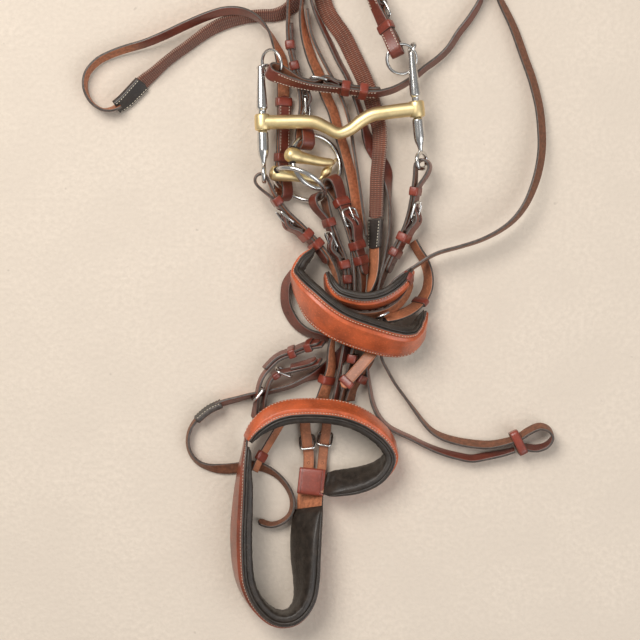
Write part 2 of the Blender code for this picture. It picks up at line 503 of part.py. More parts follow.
class TurnedStrap:
    """A strap that runs along its spine to a bit, turns round it and comes back over itself."""

    def __init__(self, name, spine, side, turn, closed_at, end, finish, width=STRAP_WIDTH, bar=None):
        self.name = name
        self.width = width
        self.side = side
        self.bar = bar
        self.finish = finish
        self.knots = [(0.0, turn), (closed_at, LAYER_GAP)]
        if bar:
            self.knots += [(bar - FRAME_REACH + 2.5, LAYER_GAP), (bar, BILLET_OVER_BAR),
                           (bar + CHAPE_LENGTH, BILLET_OVER_CHAPE), (bar + CHAPE_LENGTH + SETTLE, LAYER_GAP)]
        self.knots.append((end, LAYER_GAP))
        points, widths = strap_frame(spine, width, STRAP_THICK)
        tangents = tangents_of(points)
        steps = np.linalg.norm(np.diff(points, axis=0), axis=1)
        self.away = np.concatenate([np.cumsum(steps[::-1])[::-1], [0.0]])
        self.points = points
        self.widths = widths
        self.tangents = tangents
        chosen = self.away[stations(points, widths, STEP_MAX, TURN_MAX)]
        marks = [distance for distance, _ in self.knots] + [closed_at / 3, closed_at * 2 / 3]
        if bar:
            marks += [bar - 0.6 * FRAME_REACH, bar - 0.3 * FRAME_REACH, bar + CHAPE_LENGTH + SETTLE / 2]
        marks += [d for d in chosen if min(abs(d - mark) for mark in marks) > 3.5]
        marks.sort(reverse=True)
        spine_rows = [self.at(d) for d in marks]
        back_rows = [self.at(d) for d in reversed(marks) if d <= end]
        lifts = [self.lift(d) for d in reversed(marks) if d <= end]
        last, along, across, out = spine_rows[-1]
        radius = turn / 2
        angles = np.linspace(0, math.pi, 9)[1:-1]
        bend = [last + out * radius * (1 - math.cos(a)) + along * radius * math.sin(a) for a in angles]
        over = [row[0] + row[3] * lift for row, lift in zip(back_rows, lifts)]
        route = np.array([*[row[0] for row in spine_rows], *bend, *over])
        sides = np.array([*[row[2] for row in spine_rows], *[across] * len(bend), *[row[2] for row in back_rows]])
        self.body = ribbon(name, route, sides, finish, width, tip=0.45)

    def at(self, distance):
        """Point, direction, width and outward side of the spine at a distance from the turn."""
        rows = []
        for values in (self.points, self.tangents, self.widths):
            rows.append(np.array([np.interp(distance, self.away[::-1], values[::-1, c]) for c in range(3)]))
        along = unit(rows[1])
        across = unit(rows[2] - along * (rows[2] @ along))
        return rows[0], along, across, unit(self.side * np.cross(along, across))

    def near(self, x, y):
        """Distance from the turn of the spine point nearest in plan."""
        gaps = np.hypot(self.points[:, 0] - x, self.points[:, 1] - y)
        return self.away[int(np.argmin(gaps))]

    def lift(self, distance):
        """Distance between the spine and the returning layer."""
        for (d0, l0), (d1, l1) in zip(self.knots, self.knots[1:]):
            if distance <= d1:
                t = (distance - d0) / (d1 - d0)
                t = t * t * (3 - 2 * t)
                return l0 + (l1 - l0) * t
        return LAYER_GAP

    def place(self, distance):
        """The spine's matrix at a distance from the turn."""
        return place_at(*self.at(distance))

    def loop(self, name, distance, slack, collection):
        """A keeper round both layers."""
        half = self.width / 2 + slack + KEEPER_THICK / 2
        low = -STRAP_THICK / 2 - slack - KEEPER_THICK / 2
        high = self.lift(distance) + STRAP_THICK / 2 + slack + KEEPER_THICK / 2
        return keeper_loop(name, self.place(distance), half, low, high, KEEPER_LENGTH, self.finish, collection)

    def keepers(self, *distances):
        """Keepers sewn to the strap."""
        for number, distance in enumerate(distances):
            made = self.loop(f"{self.name} keeper {number}", distance, -0.25, "cutters")
            boolean(self.body, made, "UNION")

    def runner(self, name, distance):
        """A keeper that slides on both layers."""
        return self.loop(name, distance, RUNNER_SLACK, "bridle")

    def buckle(self, metal):
        """Chape, bored and slotted, with its wire frame and wrapped tongue, and the billet's hole."""
        name = self.name
        place = self.place(self.bar)
        fold = arc((0, BAR_LIFT), FOLD_R, -90, 90, 7)
        tail = [(-CHAPE_LENGTH, STRAP_THICK / 2 + 2 * CHAPE_THICK), (-CHAPE_LENGTH, -0.4), (0, -0.4)]
        chape = prism(f"{name} chape", fold + tail, self.width - 1.0, place, self.finish)
        bore = prism(f"{name} bore", arc((0, BAR_LIFT), WIRE_R + 0.3, 0, 330, 12), self.width + 4, place, None)
        slot = prism(f"{name} slot", box_outline(-4.2, 6.0, 1.5, 12.0), 2 * SLOT_HALF, place, None)
        boolean(chape, bore, "DIFFERENCE")
        boolean(chape, slot, "DIFFERENCE")
        boolean(self.body, chape, "UNION")
        hole = prism(f"{name} hole", box_outline(0.4, 12.8, 1.75, 14.0), 2 * SLOT_HALF, place, None)
        boolean(self.body, hole, "DIFFERENCE")
        wide = self.width / 2 + 0.9 + WIRE_R
        half = [(0, wide - 1.3), (1.3, wide), (FRAME_REACH - 3.2, wide), (FRAME_REACH - 0.9, wide - 0.9),
                (FRAME_REACH, wide - 3.2)]
        ring = half + [(u, -w) for u, w in reversed(half)]
        rise = (FRAME_FRONT_LIFT - BAR_LIFT) / FRAME_REACH
        shape = [self.beside(u, w, BAR_LIFT + rise * u) for u, w in ring]
        wire(f"{name}_frame", shape, WIRE_R, metal, closed=True, sides=1)
        tip = FRAME_FRONT_LIFT + WIRE_R + 0.3 + TONGUE_R
        eye = [(u, n) for u, n in arc((0, BAR_LIFT), TONGUE_EYE_R, 0, -270, 8)]
        point, along, _, out = self.at(self.bar)
        pivot = place_at(point + out * BAR_LIFT, along, np.cross(out, along), out)
        route = place_points(place, [(u, 0, n) for u, n in eye])
        route.append(self.beside(FRAME_REACH * 0.5, 0, (eye[-1][1] + tip) / 2))
        route.append(self.beside(FRAME_REACH + 1.2, 0, tip))
        tongue = wire(f"{name}_tongue", place_points(pivot.inverted(), route), TONGUE_R, metal, sides=1)
        tongue.matrix_world = pivot

    def beside(self, u, w, n):
        """A point u in front of the bar, w across the strap and n above it, following the strap."""
        return place_points(self.place(self.bar - u), [(0, w, n)])[0]


def slip_buckle(name, route, position, width, metal, reach=14.0):
    """A frame round a single strap: its bar lies behind the strap and its front lies over it."""
    points, widths = strap_frame(route)
    i = int(np.argmin(np.hypot(points[:, 0] - position[0], points[:, 1] - position[1])))
    along = tangents_of(points)[i]
    across = unit(widths[i] - along * (widths[i] @ along))
    place = place_at(points[i], along, across, np.cross(along, across))
    wide = width / 2 + 0.6 + WIRE_R
    lift = STRAP_THICK / 2 + WIRE_R + 1.3
    ring = []
    for u, w in [(-1, -1), (1, -1), (1, 1), (-1, 1)]:
        for du, dw in [(0.72, 1.0), (1.0, 0.8)] if u * w < 0 else [(1.0, 0.8), (0.72, 1.0)]:
            ring.append((u * du * reach / 2, w * dw * wide, u * du * lift))
    return wire(name, place_points(place, ring), WIRE_R, metal, closed=True, sides=1)


def ring(name, shape, radius, wire_r, finish, count=22):
    """A round wire ring about its own origin, from its centre and two directions of its plane."""
    centre, u, v = (np.array(part, dtype=float) for part in shape)
    u = unit(u)
    v = unit(v - u * (u @ v))
    angles = np.linspace(0, 2 * math.pi, count, endpoint=False)
    made = wire(name, [(radius * math.cos(a), radius * math.sin(a), 0) for a in angles], wire_r, finish, closed=True)
    made.matrix_world = place_at(centre, u, v, np.cross(u, v))
    return made


def ring_point(shape, radius, angle):
    """Point and direction of a ring's wire at an angle."""
    centre, u, v = (np.array(part, dtype=float) for part in shape)
    u = unit(u)
    v = unit(v - u * (u @ v))
    point = centre + radius * (u * math.cos(angle) + v * math.sin(angle))
    return point, v * math.cos(angle) - u * math.sin(angle), unit(centre - point)


def loft(name, sections, finish):
    """Closed sections of equal count joined one to the next, with both ends filled."""
    count = len(sections[0])
    verts = [point for section in sections for point in section]
    faces = []
    for r in range(len(sections) - 1):
        for i in range(count):
            j = (i + 1) % count
            faces.append((r * count + i, r * count + j, (r + 1) * count + j, (r + 1) * count + i))
    faces.append(tuple(range(count - 1, -1, -1)))
    faces.append(tuple((len(sections) - 1) * count + i for i in range(count)))
    made = new_object(name, mesh_of(name, verts, faces), finish)
    face_outwards(made.data)
    return made


def band_stations(route):
    """Stations of a padded band: point, width direction, outward side, width and padding."""
    dense = curve_through(route)
    points, widths = strap_frame([row[:4] for row in route])
    tangents = tangents_of(points)
    rows = []
    for i in stations(points, widths, BAND_STEP_MAX, BAND_TURN_MAX):
        across = unit(widths[i] - tangents[i] * (widths[i] @ tangents[i]))
        rows.append((points[i], across, unit(np.cross(tangents[i], across)), dense[i, 4], dense[i, 5]))
    return rows


def leather_section(centre, across, out, width, pad):
    """The outer leather of a padded band: a crowned face, thin at the edges."""
    half = width / 2
    crown = PANEL_CROWN * min(1.0, pad / 5)
    rows = [(1.0, 0.0), (0.55, 0.75), (0.0, 1.0), (-0.55, 0.75), (-1.0, 0.0)]
    face = [centre + across * half * v + out * (n * crown + PANEL_THICK / 2) for v, n in rows]
    back = [centre + across * half * v - out * PANEL_THICK / 2 for v in (-1.0, 0.0, 1.0)]
    return face + back


def lining_section(centre, across, out, width, pad):
    """The soft lining behind it: fat in the middle and drawn in at both seams."""
    half = width / 2 + LINING_PROUD
    face = -PANEL_THICK / 2 - PAD_GAP
    rows = [(0.86, 0.0), (0.0, 0.0), (-0.86, 0.0), (-1.0, 0.35), (-0.93, 0.8), (-0.5, 1.0), (0.0, 0.92),
            (0.5, 1.0), (0.93, 0.8), (1.0, 0.35)]
    return [centre + across * half * v + out * (face - n * pad) for v, n in rows]


def padded_band(name, route, finish):
    """Leather and lining of one padded band as two solids. A padding of 0 leaves the leather bare."""
    rows = band_stations(route)
    skin = loft(f"{name}_leather", [leather_section(*row) for row in rows], finish)
    soft = loft(f"{name}_lining", [lining_section(*row) for row in rows if row[4] > 1.9], LINING)
    return skin, soft


def rod(name, rows, finish, sides=2):
    """A turned rod along points with their own radii, as a welded mesh."""
    curve = wire(name, [row[:3] for row in rows], 1.0, None, sides=sides, radii=[row[3] for row in rows])
    made = solid_wire(curve)
    made.data.materials.append(finish)
    return made


def curb_cheek(name, axis, eye_side, eyelet):
    """Shank, neck, barrel and the two eyes of one curb cheek."""
    origin = np.array(axis[0])
    along = unit(np.array(axis[1]))
    body = rod(name, [(*(origin + along * s), r) for s, r in CHEEK_PROFILE], STEEL)
    side = unit(eye_side - along * (eye_side @ along))
    centre = origin + along * CHEEK_EYE_AT
    shape = [centre + along * u + side * w for u, w in CHEEK_EYE]
    upper = solid_wire(wire(f"{name} upper eye", shape, CHEEK_EYE_WIRE, None, closed=True), "cutters")
    boolean(body, upper, "UNION")
    point, tangent, _ = eyelet
    towards = unit(origin + along * 51.0 - point)
    third = np.cross(tangent, towards)
    angles = np.linspace(0, 2 * math.pi, 14, endpoint=False)
    round_eye = [point + EYELET_R * (towards * math.cos(a) + third * math.sin(a)) for a in angles]
    lower = solid_wire(wire(f"{name} lower eye", round_eye, EYELET_WIRE, None, closed=True), "cutters")
    boolean(body, lower, "UNION")
    return body


def bradoon_arm(name, rows, shape, radius, at_angle, link_end):
    """One arm: a bulb bored for its ring and, at the other end, an eye through the link."""
    body = rod(name, rows, BRASS)
    point, tangent, inwards = ring_point(shape, radius, at_angle)
    boolean(body, drum(f"{name} bore", point + inwards * 0.4, tangent, ARM_BORE_R, 30.0), "DIFFERENCE")
    d = unit(np.array(LINK_DIRECTION))
    centre = np.array(LINK_CENTRE) + d * link_end * (LINK_HOLE_OFFSET + ARM_EYE_R)
    angles = np.linspace(0, 2 * math.pi, 14, endpoint=False)
    eye = [centre + ARM_EYE_R * (d * math.cos(a) + np.array((0, 0, 1.0)) * math.sin(a)) for a in angles]
    joined = solid_wire(wire(f"{name} eye", eye, ARM_EYE_WIRE, None, closed=True), "cutters")
    boolean(body, joined, "UNION")
    return body


def bradoon_link(name):
    """The flat link between the two arms, with a hole for each arm's eye."""
    d = unit(np.array(LINK_DIRECTION))
    up = np.array((0.0, 0.0, 1.0))
    place = place_at((0, 0, 0), d, up, np.cross(d, up))
    reach = LINK_HOLE_OFFSET + LINK_HOLE_R + 2.2
    outline = [(reach * math.copysign(abs(math.cos(a)) ** 0.8, math.cos(a)),
                5.6 * math.copysign(abs(math.sin(a)) ** 0.8, math.sin(a)))
               for a in np.linspace(0, 2 * math.pi, 20, endpoint=False)]
    body = prism(name, outline, LINK_THICK, place, BRASS, "bridle")
    for side in (-1, 1):
        hole = arc((side * LINK_HOLE_OFFSET, 0), LINK_HOLE_R, 0, 330, 12)
        boolean(body, prism(f"{name} hole {side}", hole, 4 * LINK_THICK, place, None), "DIFFERENCE")
    for part in (body, *[m.object for m in body.modifiers]):
        part.matrix_world = Matrix.Translation([v * MM for v in LINK_CENTRE])
    return body


for old in list(bpy.data.objects):
    bpy.data.objects.remove(old)
for title in ("bridle", "cutters"):
    bpy.context.scene.collection.children.link(bpy.data.collections.new(title))

GRAIN = material("chestnut_grain", (0.24, 0.055, 0.028), 0.42)
FLESH = material("orange_flesh", (0.52, 0.20, 0.09), 0.75)
PADDED = material("tan_panel", (0.55, 0.16, 0.055), 0.38)
LINING = material("brown_lining", (0.045, 0.035, 0.032), 0.55)
WEB = material("rein_webbing", (0.30, 0.12, 0.07), 0.85)
SLEEVE = material("dark_sleeve", (0.07, 0.06, 0.055), 0.6)
STEEL = material("polished_steel", (0.78, 0.76, 0.72), 0.18, 1.0)
BRASS = material("satin_brass", (0.78, 0.60, 0.30), 0.32, 1.0)

# Cheekpieces
curb_cheek_left = TurnedStrap("curb_cheekpiece_left", CURB_CHEEK_LEFT, -1, 11.5, 22, 98, GRAIN, bar=46)
curb_cheek_left.keepers(23, 64, curb_cheek_left.near(9, -90))
curb_cheek_left.buckle(STEEL)
curb_cheek_left.runner("curb_cheek_runner", 77)
bradoon_cheek_left = TurnedStrap("bradoon_cheekpiece_left", BRADOON_CHEEK_LEFT, -1, 13.0, 21, 94, GRAIN, bar=44)
bradoon_cheek_left.keepers(21, 62, 76)
bradoon_cheek_left.buckle(STEEL)
bradoon_cheek_right = TurnedStrap("bradoon_cheekpiece_right", BRADOON_CHEEK_RIGHT, 1, 12.0, 19, 88, GRAIN, bar=42)
bradoon_cheek_right.keepers(18.5, 60, 74, bradoon_cheek_right.near(29, -70))
bradoon_cheek_right.buckle(STEEL)
curb_cheek_right = TurnedStrap("curb_cheekpiece_right", CURB_CHEEK_RIGHT, 1, 13.0, 22, 102, GRAIN, bar=47)
curb_cheek_right.keepers(22, 65, 81, curb_cheek_right.near(39, -88))
curb_cheek_right.buckle(STEEL)

# Reins
curb_rein_left = TurnedStrap("curb_rein_left", CURB_REIN_LEFT, 1, 11.5, 28, 102, GRAIN, bar=49)
curb_rein_left.keepers(67)
curb_rein_left.buckle(STEEL)
curb_rein_left.runner("curb_rein_runner", 83)
curb_rein_right = TurnedStrap("curb_rein_right", CURB_REIN_RIGHT, -1, 11.0, 22, 80, GRAIN, bar=46)
curb_rein_right.keepers(22, 64)
curb_rein_right.buckle(STEEL)
bradoon_rein_right = TurnedStrap("bradoon_rein_right", BRADOON_REIN_RIGHT, -1, 13.4, 22, 112, GRAIN,
                                 BRADOON_REIN_WIDTH, bar=41)
bradoon_rein_right.keepers(71, 91)
bradoon_rein_right.buckle(STEEL)
bradoon_rein_left = TurnedStrap("bradoon_rein_left", BRADOON_REIN_LEFT, -1, 12.6, 30, 90, GRAIN, 12.0)
bradoon_rein_left.keepers(32, 64, 83)
plain_strap("rein_grip", REIN_GRIP, WEB, GRIP_WIDTH, GRIP_THICK)
plain_strap("rein_sleeve_bit_end", REIN_SLEEVE_BIT, SLEEVE, SLEEVE_WIDTH, SLEEVE_THICK)
plain_strap("rein_sleeve_hand_end", REIN_SLEEVE_HAND, SLEEVE, SLEEVE_WIDTH, SLEEVE_THICK)
plain_strap("rein_hand_part", REIN_HAND_PART, FLESH, BRADOON_REIN_WIDTH)
plain_strap("rein_sleeve_right", REIN_SLEEVE_RIGHT, SLEEVE, 15.0, 4.6)
plain_strap("rein_tail_right", REIN_TAIL_RIGHT, GRAIN, 10.0)
end_keeper = place_at((184.3, -147.2, 9.2), *(np.array(v) for v in ((0.894, 0.447, 0), (-0.447, 0.894, 0), (0, 0, 1))))
keeper_loop("rein_end_keeper", end_keeper, 11.0, -8.2, 8.0, 8.0, GRAIN, "bridle")

# Headstall straps
plain_strap("noseband_headstrap", HEADSTRAP, GRAIN, 10.0, 3.0)
plain_strap("noseband_strap_right", NOSEBAND_STRAP_RIGHT, FLESH, 13.0)
plain_strap("noseband_strap_left", NOSEBAND_STRAP_LEFT, GRAIN, 14.0)
plain_strap("noseband_tail", NOSEBAND_TAIL, FLESH, 11.0)
plain_strap("throat_strap_inner", THROAT_STRAP_INNER, GRAIN, 12.0)
plain_strap("throat_strap_outer", THROAT_STRAP_OUTER, GRAIN, 12.0)
slip_buckle("throat_buckle_inner", THROAT_STRAP_INNER, (-30, -82.5), 12.0, STEEL, 12.0)
slip_buckle("throat_buckle_outer", THROAT_STRAP_OUTER, (-54.5, -102), 12.0, STEEL, 12.0)
plain_strap("crown_branch", CROWN_BRANCH, FLESH, 8.5, 2.2)

# Padded bands
crown_leather, crown_lining = padded_band("crown", CROWN, GRAIN)
boolean(crown_leather, plain_strap("crown strap p", CROWN_STRAP_P, None, 10.0, 2.2, collection="cutters"), "UNION")
boolean(crown_leather, plain_strap("crown strap q", CROWN_STRAP_Q, None, 9.0, 2.2, collection="cutters"), "UNION")
slip_buckle("crown_buckle_left", CROWN_STRAP_P, (-9, -147), 10.0, STEEL, 12.0)
slip_buckle("crown_buckle_right", CROWN_STRAP_Q, (7.5, -144), 9.0, STEEL, 12.0)
browband_leather, browband_lining = padded_band("browband", BROWBAND, PADDED)
padded_band("noseband", NOSEBAND, PADDED)
padded_band("chin_pad", CHIN_PAD, PADDED)

# Curb bit
mouth = rod("weymouth_mouthpiece", curve_through(MOUTHPIECE)[::7], BRASS, 3)
for side, axis in (("left", LEFT_CHEEK_AXIS), ("right", RIGHT_CHEEK_AXIS)):
    boolean(mouth, drum(f"mouthpiece boss {side}", axis[0], axis[1], BOSS_R, BOSS_LENGTH, 18), "UNION")
    boolean(mouth, drum(f"mouthpiece bore {side}", axis[0], axis[1], NECK_R + BORE_SLACK, 20.0, 18), "DIFFERENCE")
curb_cheek("weymouth_cheek_left", LEFT_CHEEK_AXIS, np.array((0, 0, 1.0)),
           ring_point(CURB_RING_LEFT, CURB_RING_R, math.radians(270)))
curb_cheek("weymouth_cheek_right", RIGHT_CHEEK_AXIS,
           np.array((-math.sin(RIGHT_EYE_TILT), 0, math.cos(RIGHT_EYE_TILT))),
           ring_point(CURB_RING_RIGHT, CURB_RING_RIGHT_R, math.radians(48)))
ring("curb_ring_left", CURB_RING_LEFT, CURB_RING_R, CURB_RING_WIRE, STEEL)
ring("curb_ring_right", CURB_RING_RIGHT, CURB_RING_RIGHT_R, CURB_RING_WIRE, STEEL)

# Bradoon
bradoon_arm("bradoon_arm_left", ARM_LEFT, RING_A, BRADOON_RING_A_R, RING_A_AT_ARM, 1)
bradoon_arm("bradoon_arm_right", ARM_RIGHT, RING_B, BRADOON_RING_B_R, RING_B_AT_ARM, -1)
bradoon_link("bradoon_link")
ring("bradoon_ring_left", RING_A, BRADOON_RING_A_R, BRADOON_WIRE, STEEL)
ring("bradoon_ring_right", RING_B, BRADOON_RING_B_R, BRADOON_WIRE, STEEL)

# The origin is the floor point under the middle of the bundle
for made in bpy.data.objects:
    made.location.y -= MIDDLE_Y * MM
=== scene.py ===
"""Double bridle, put away as a bundle on a pale floor, with its leather, stitching and metal finished.

Run as a script. Routes are read in millimetres, each towards the bit it holds, and become metres on a mesh.
"""

import math

import bpy
import numpy as np
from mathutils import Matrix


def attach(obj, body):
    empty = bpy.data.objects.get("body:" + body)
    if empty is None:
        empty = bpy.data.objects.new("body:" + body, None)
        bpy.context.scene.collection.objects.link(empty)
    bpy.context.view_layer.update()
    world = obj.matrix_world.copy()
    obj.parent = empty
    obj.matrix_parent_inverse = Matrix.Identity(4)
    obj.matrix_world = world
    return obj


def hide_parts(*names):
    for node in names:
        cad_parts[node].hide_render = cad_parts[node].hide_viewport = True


bl_info = {
    "name": "Double bridle dressing",
    "version": (1, 0, 0),
    "blender": (4, 5, 0),
    "location": "View3D > Sidebar > Bridle",
    "description": "Finished leather, stitching, padding and metal for a bundled double bridle",
    "category": "Object",
}

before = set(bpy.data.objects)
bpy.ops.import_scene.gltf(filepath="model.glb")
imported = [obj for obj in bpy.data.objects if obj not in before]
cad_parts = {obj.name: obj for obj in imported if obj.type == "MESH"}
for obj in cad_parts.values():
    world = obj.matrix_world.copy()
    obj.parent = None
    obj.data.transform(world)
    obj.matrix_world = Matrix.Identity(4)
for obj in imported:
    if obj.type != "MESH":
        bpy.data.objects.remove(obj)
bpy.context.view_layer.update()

# Sizes are in millimetres. The frame's middle lies at MIDDLE_Y on the photo's upward axis.
MM = 0.001
MIDDLE_Y = -10.7
FLOOR_GAP = 0.03

# Straps: their section, the gap between two layers, and their ends
STRAP_WIDTH = 12.5
STRAP_THICK = 2.6
STRAP_ROUNDING = 0.8
STRAP_DOME = 0.1
THIN_THICK = 2.2
LAYER_GAP = STRAP_THICK + 0.6
ROUND_TIP = 5.0
CUT_TIP = 1.0
TWIST_BLEND = 24.0
TURNED_STEP = 1.2
PLAIN_STEP = 1.4

# Buckles: wire, folded chape, tongue, and how high each lies over the strap
WIRE_R = 1.2
WIRE_SIDE_GAP = 0.9
FRAME_REACH = 15.0
CHAPE_THICK = 1.5
CHAPE_STRIP = 1.4
CHAPE_LENGTH = 12.0
CHAPE_R = WIRE_R + 0.3 + CHAPE_THICK / 2
TONGUE_R = 0.85
TONGUE_EYE_R = 2.35
TONGUE_GAP = 3.3
TONGUE_CLEAR = 0.3
SLOT_FRONT = 11.5
SLOT_BEHIND = 0.8
BILLET_RISE_START = 2.5
BILLET_SETTLE = 12.0
BAR_LIFT = STRAP_THICK / 2 + TONGUE_EYE_R + TONGUE_R + 0.45
BILLET_OVER_BAR = BAR_LIFT + TONGUE_EYE_R + TONGUE_R + 0.3 + STRAP_THICK / 2
BILLET_OVER_CHAPE = STRAP_THICK / 2 + 2 * CHAPE_THICK + 0.4 + STRAP_THICK / 2
FRAME_FRONT_LIFT = STRAP_THICK + LAYER_GAP / 2 + WIRE_R + 0.55
SLIP_HALF = 6.0
SLIP_SIDE_GAP = 0.6
SLIP_LIFT = STRAP_THICK / 2 + WIRE_R + 1.3

# Keepers and runners
KEEPER_LENGTH = 8.0
KEEPER_THICK = 1.5
KEEPER_EDGE = 0.4
KEEPER_DOME = 0.25
KEEPER_SLACK = -0.1
RUNNER_SLACK = 0.8
LONE_SLACK = 0.6
LONE_LENGTH = 7.0

# Padded bands
PANEL_THICK = 2.4
PANEL_EDGE = 0.9
PANEL_RAISE = 2.3
GROOVE_DEPTH = 0.6
FULL_PAD = 5.0
LEAST_PAD = 1.9
PAD_GAP = 1.2
LINING_PROUD = 1.2
END_CLOSING = 6.0
CHANNEL_DEPTH = 0.5
CHANNEL_SHARE = 0.16
PIPING_R = 1.25
PIPING_OUT = 0.55
PIPING_UNDER = 0.95
BAND_STEP = 1.5

# Stitches and punched holes
SEAM_START = 3
SEAM_END = 4
KEEPER_CLEAR = 5
CHAPE_CLEAR = (1, 2)
SLEEVE_CLEAR = (1.5, 3)
STITCH_R = 0.38
BAND_STITCH_R = 0.42
STITCH_INSET = 1.7
SLEEVE_INSET = 1.8
STITCH_PROUD = 0.08
BAND_SEAM = 0.91
BAND_STITCH_SINK = 0.1
HOLE_PITCH = 9.0
HOLES_FROM_BAR = 18
HOLES_FROM_END = 6
HOLE_FROM_KEEPER = 6.5
PLAIN_HOLE_PROUD = 0.14
BILLET_HOLE_PROUD = 0.16

# Bits
BOSS_R = 7.1
BOSS_HALF = 7.5
BOSS_BORE = 4.0
MOUTH_SWELL = 1.17
ARM_SWELL = 1.1
CURB_RING_R = 12.0
CURB_RING_RIGHT_R = 13.5
CURB_RING_WIRE = 1.5
EYELET_R = 4.6
EYELET_WIRE = 1.5
EYELET_FROM_MIDDLE = 51.0
CHEEK_EYE_WIRE = 2.0
BRADOON_RING_A_R = 25.5
BRADOON_RING_B_R = 24.5
BRADOON_WIRE = 2.25
BORE_SLACK = 0.7
BORE_HALF = 8.0
ARM_EYE_R = 4.2
ARM_EYE_WIRE = 1.3
LINK_HOLE_OFFSET = 6.8
LINK_HOLE_R = 2.6
LINK_RIM_R = LINK_HOLE_R + 2.3
LINK_THICK = 2.4
LINK_HALF = 7.4
LINK_WAIST_R = 4.1

# The power of a superellipse's sine and cosine: 1 for an ellipse, less for squarer corners
KEEPER_SQUARE = 0.28
SLIP_SQUARE = 0.45
SOFT_SQUARE = 0.6

# Sides of a round section
ROD_SIDES = 32
WIRE_SIDES = 20
THIN_SIDES = 12
CURVE_POINTS = 120

# Features to the metre in the finishes, and the web's distance from rib to rib in metres
MOTTLE, FINE_GRAIN, PORES, SUEDE, INK = 42, 520, 1300, 330, 260
CREASES, LINING_PORES = 160, 1100
WEB_CLOUDS, FIBRES = 70, 800
PATCHES, WIPES = 90, 500
# The second of these varies the painted shade inside holes and bores
TWIST, HOLE_SHADE_MOTTLE = 2600, 900
FLOOR_CLOUDS, GRIT, FLECKS = 14, 240, 75
RIB_PITCH = 0.0018

# Routes: x, y, z and lean of a strap, each read towards the bit it holds
CURB_CHEEK_LEFT = [
    (3, -112, 6.5, 25), (6, -103, 8.5, 33), (9, -93, 11, 42), (12.5, -80, 12.5, 50), (13, -60, 14, 65),
    (16, -40, 14, 85), (18.5, -20, 14, 95), (19.2, -2, 14, 105), (13.5, 15.5, 14, 112),
    (2, 32.5, 14.5, 114), (-13.5, 49, 17, 114), (-27.5, 63.5, 21.5, 104), (-38.5, 79.5, 24.5, 96),
    (-45.2, 94.4, 26.5, 89)]
BRADOON_CHEEK_LEFT = [
    (17.5, -109, 8, 55), (18.5, -100, 10, 66), (20, -88, 12, 76), (22, -74, 14, 82), (24.3, -58, 14.4, 88),
    (26.5, -30, 14.2, 90), (29, -8, 13.6, 94), (28.3, 8, 13.6, 98), (24.5, 24, 14, 104),
    (18.5, 38, 15, 108), (13.4, 51, 16, 112), (9.9, 63, 16.2, 117), (7.1, 74.6, 16, 123)]
BRADOON_CHEEK_RIGHT = [
    (24, -109, 8, 55), (25.5, -100, 9.5, 62), (28, -88, 11, 68), (31, -72, 12.5, 76), (34, -56, 13.5, 84),
    (39, -30, 14, 80), (41.5, -8, 15.5, 72), (41.5, 6, 16, 63), (38.5, 21, 17, 54), (34, 36, 18, 47),
    (30, 50, 18, 43), (25.5, 63, 16.5, 41), (19.6, 75.5, 14, 40), (11.8, 87, 11.6, 40)]
CURB_CHEEK_RIGHT = [
    (30, -109, 8, 50), (33, -98, 11, 58), (41, -84, 13, 60), (50, -68, 11.5, 62), (53, -40, 14, 82),
    (56, -12, 14, 80), (60, 3, 14, 72), (66, 18, 14.5, 68), (75, 36, 15.5, 65), (81.5, 50, 17, 65),
    (85.5, 64, 18, 66), (88, 80, 19.5, 70), (89.6, 94, 21, 74), (90, 104.4, 21.3, 76)]
CURB_REIN_LEFT = [
    (187, -150.5, 9, 108), (194, -152, 9, 114), (202, -152.5, 9, 114), (211, -149, 10, 106),
    (215.5, -142, 11, 90), (212, -135, 12, 74), (204, -132.5, 12, 66), (194, -136.5, 10.5, 66),
    (184, -143, 9.5, 68), (172, -147, 8, 66), (158, -149.5, 7, 62), (142, -148.5, 7, 61),
    (128, -146, 7, 64), (115, -142, 7, 68), (106, -137, 7, 74), (98, -129, 7.5, 80), (89, -117, 8, 84),
    (80, -105, 9, 90), (72, -94, 10, 90), (65, -82, 11, 90), (59, -69, 13, 90), (60, -52, 14, 90),
    (62, -30, 14, 90), (63.5, -10, 15, 90), (69, -1, 17, 88), (78, 6.5, 19, 86), (90, 14, 21, 84),
    (102, 22, 22, 84), (112, 26.5, 22, 84), (130, 31.5, 22, 84), (150, 38, 22, 82), (169, 48, 21, 78),
    (181, 58, 20, 72), (190, 70, 19, 66), (197, 85, 18, 60), (202, 101, 17, 56), (205, 120, 16, 54),
    (205, 140, 14, 52), (203, 160, 12, 52), (197, 185, 10, 52), (190, 205, 9, 52), (180, 233, 8, 54),
    (168, 258, 8, 62), (163.5, 268, 8, 80), (158, 272, 8, 90), (153, 267, 8, 100), (149, 256, 8, 108),
    (140, 241, 8, 112), (130, 228, 8, 112), (120, 213, 8.5, 110), (110, 203.5, 9, 108), (100, 196, 11, 107),
    (88, 186, 14, 107), (76, 178, 17.5, 108), (66, 173.5, 21, 109), (52, 170.5, 24, 110),
    (35, 172, 26, 111), (20, 174, 26.5, 112), (5, 175.5, 27, 113), (-10, 177.5, 28.5, 117),
    (-25, 181, 32, 126), (-38.7, 185.3, 36.5, 137)]
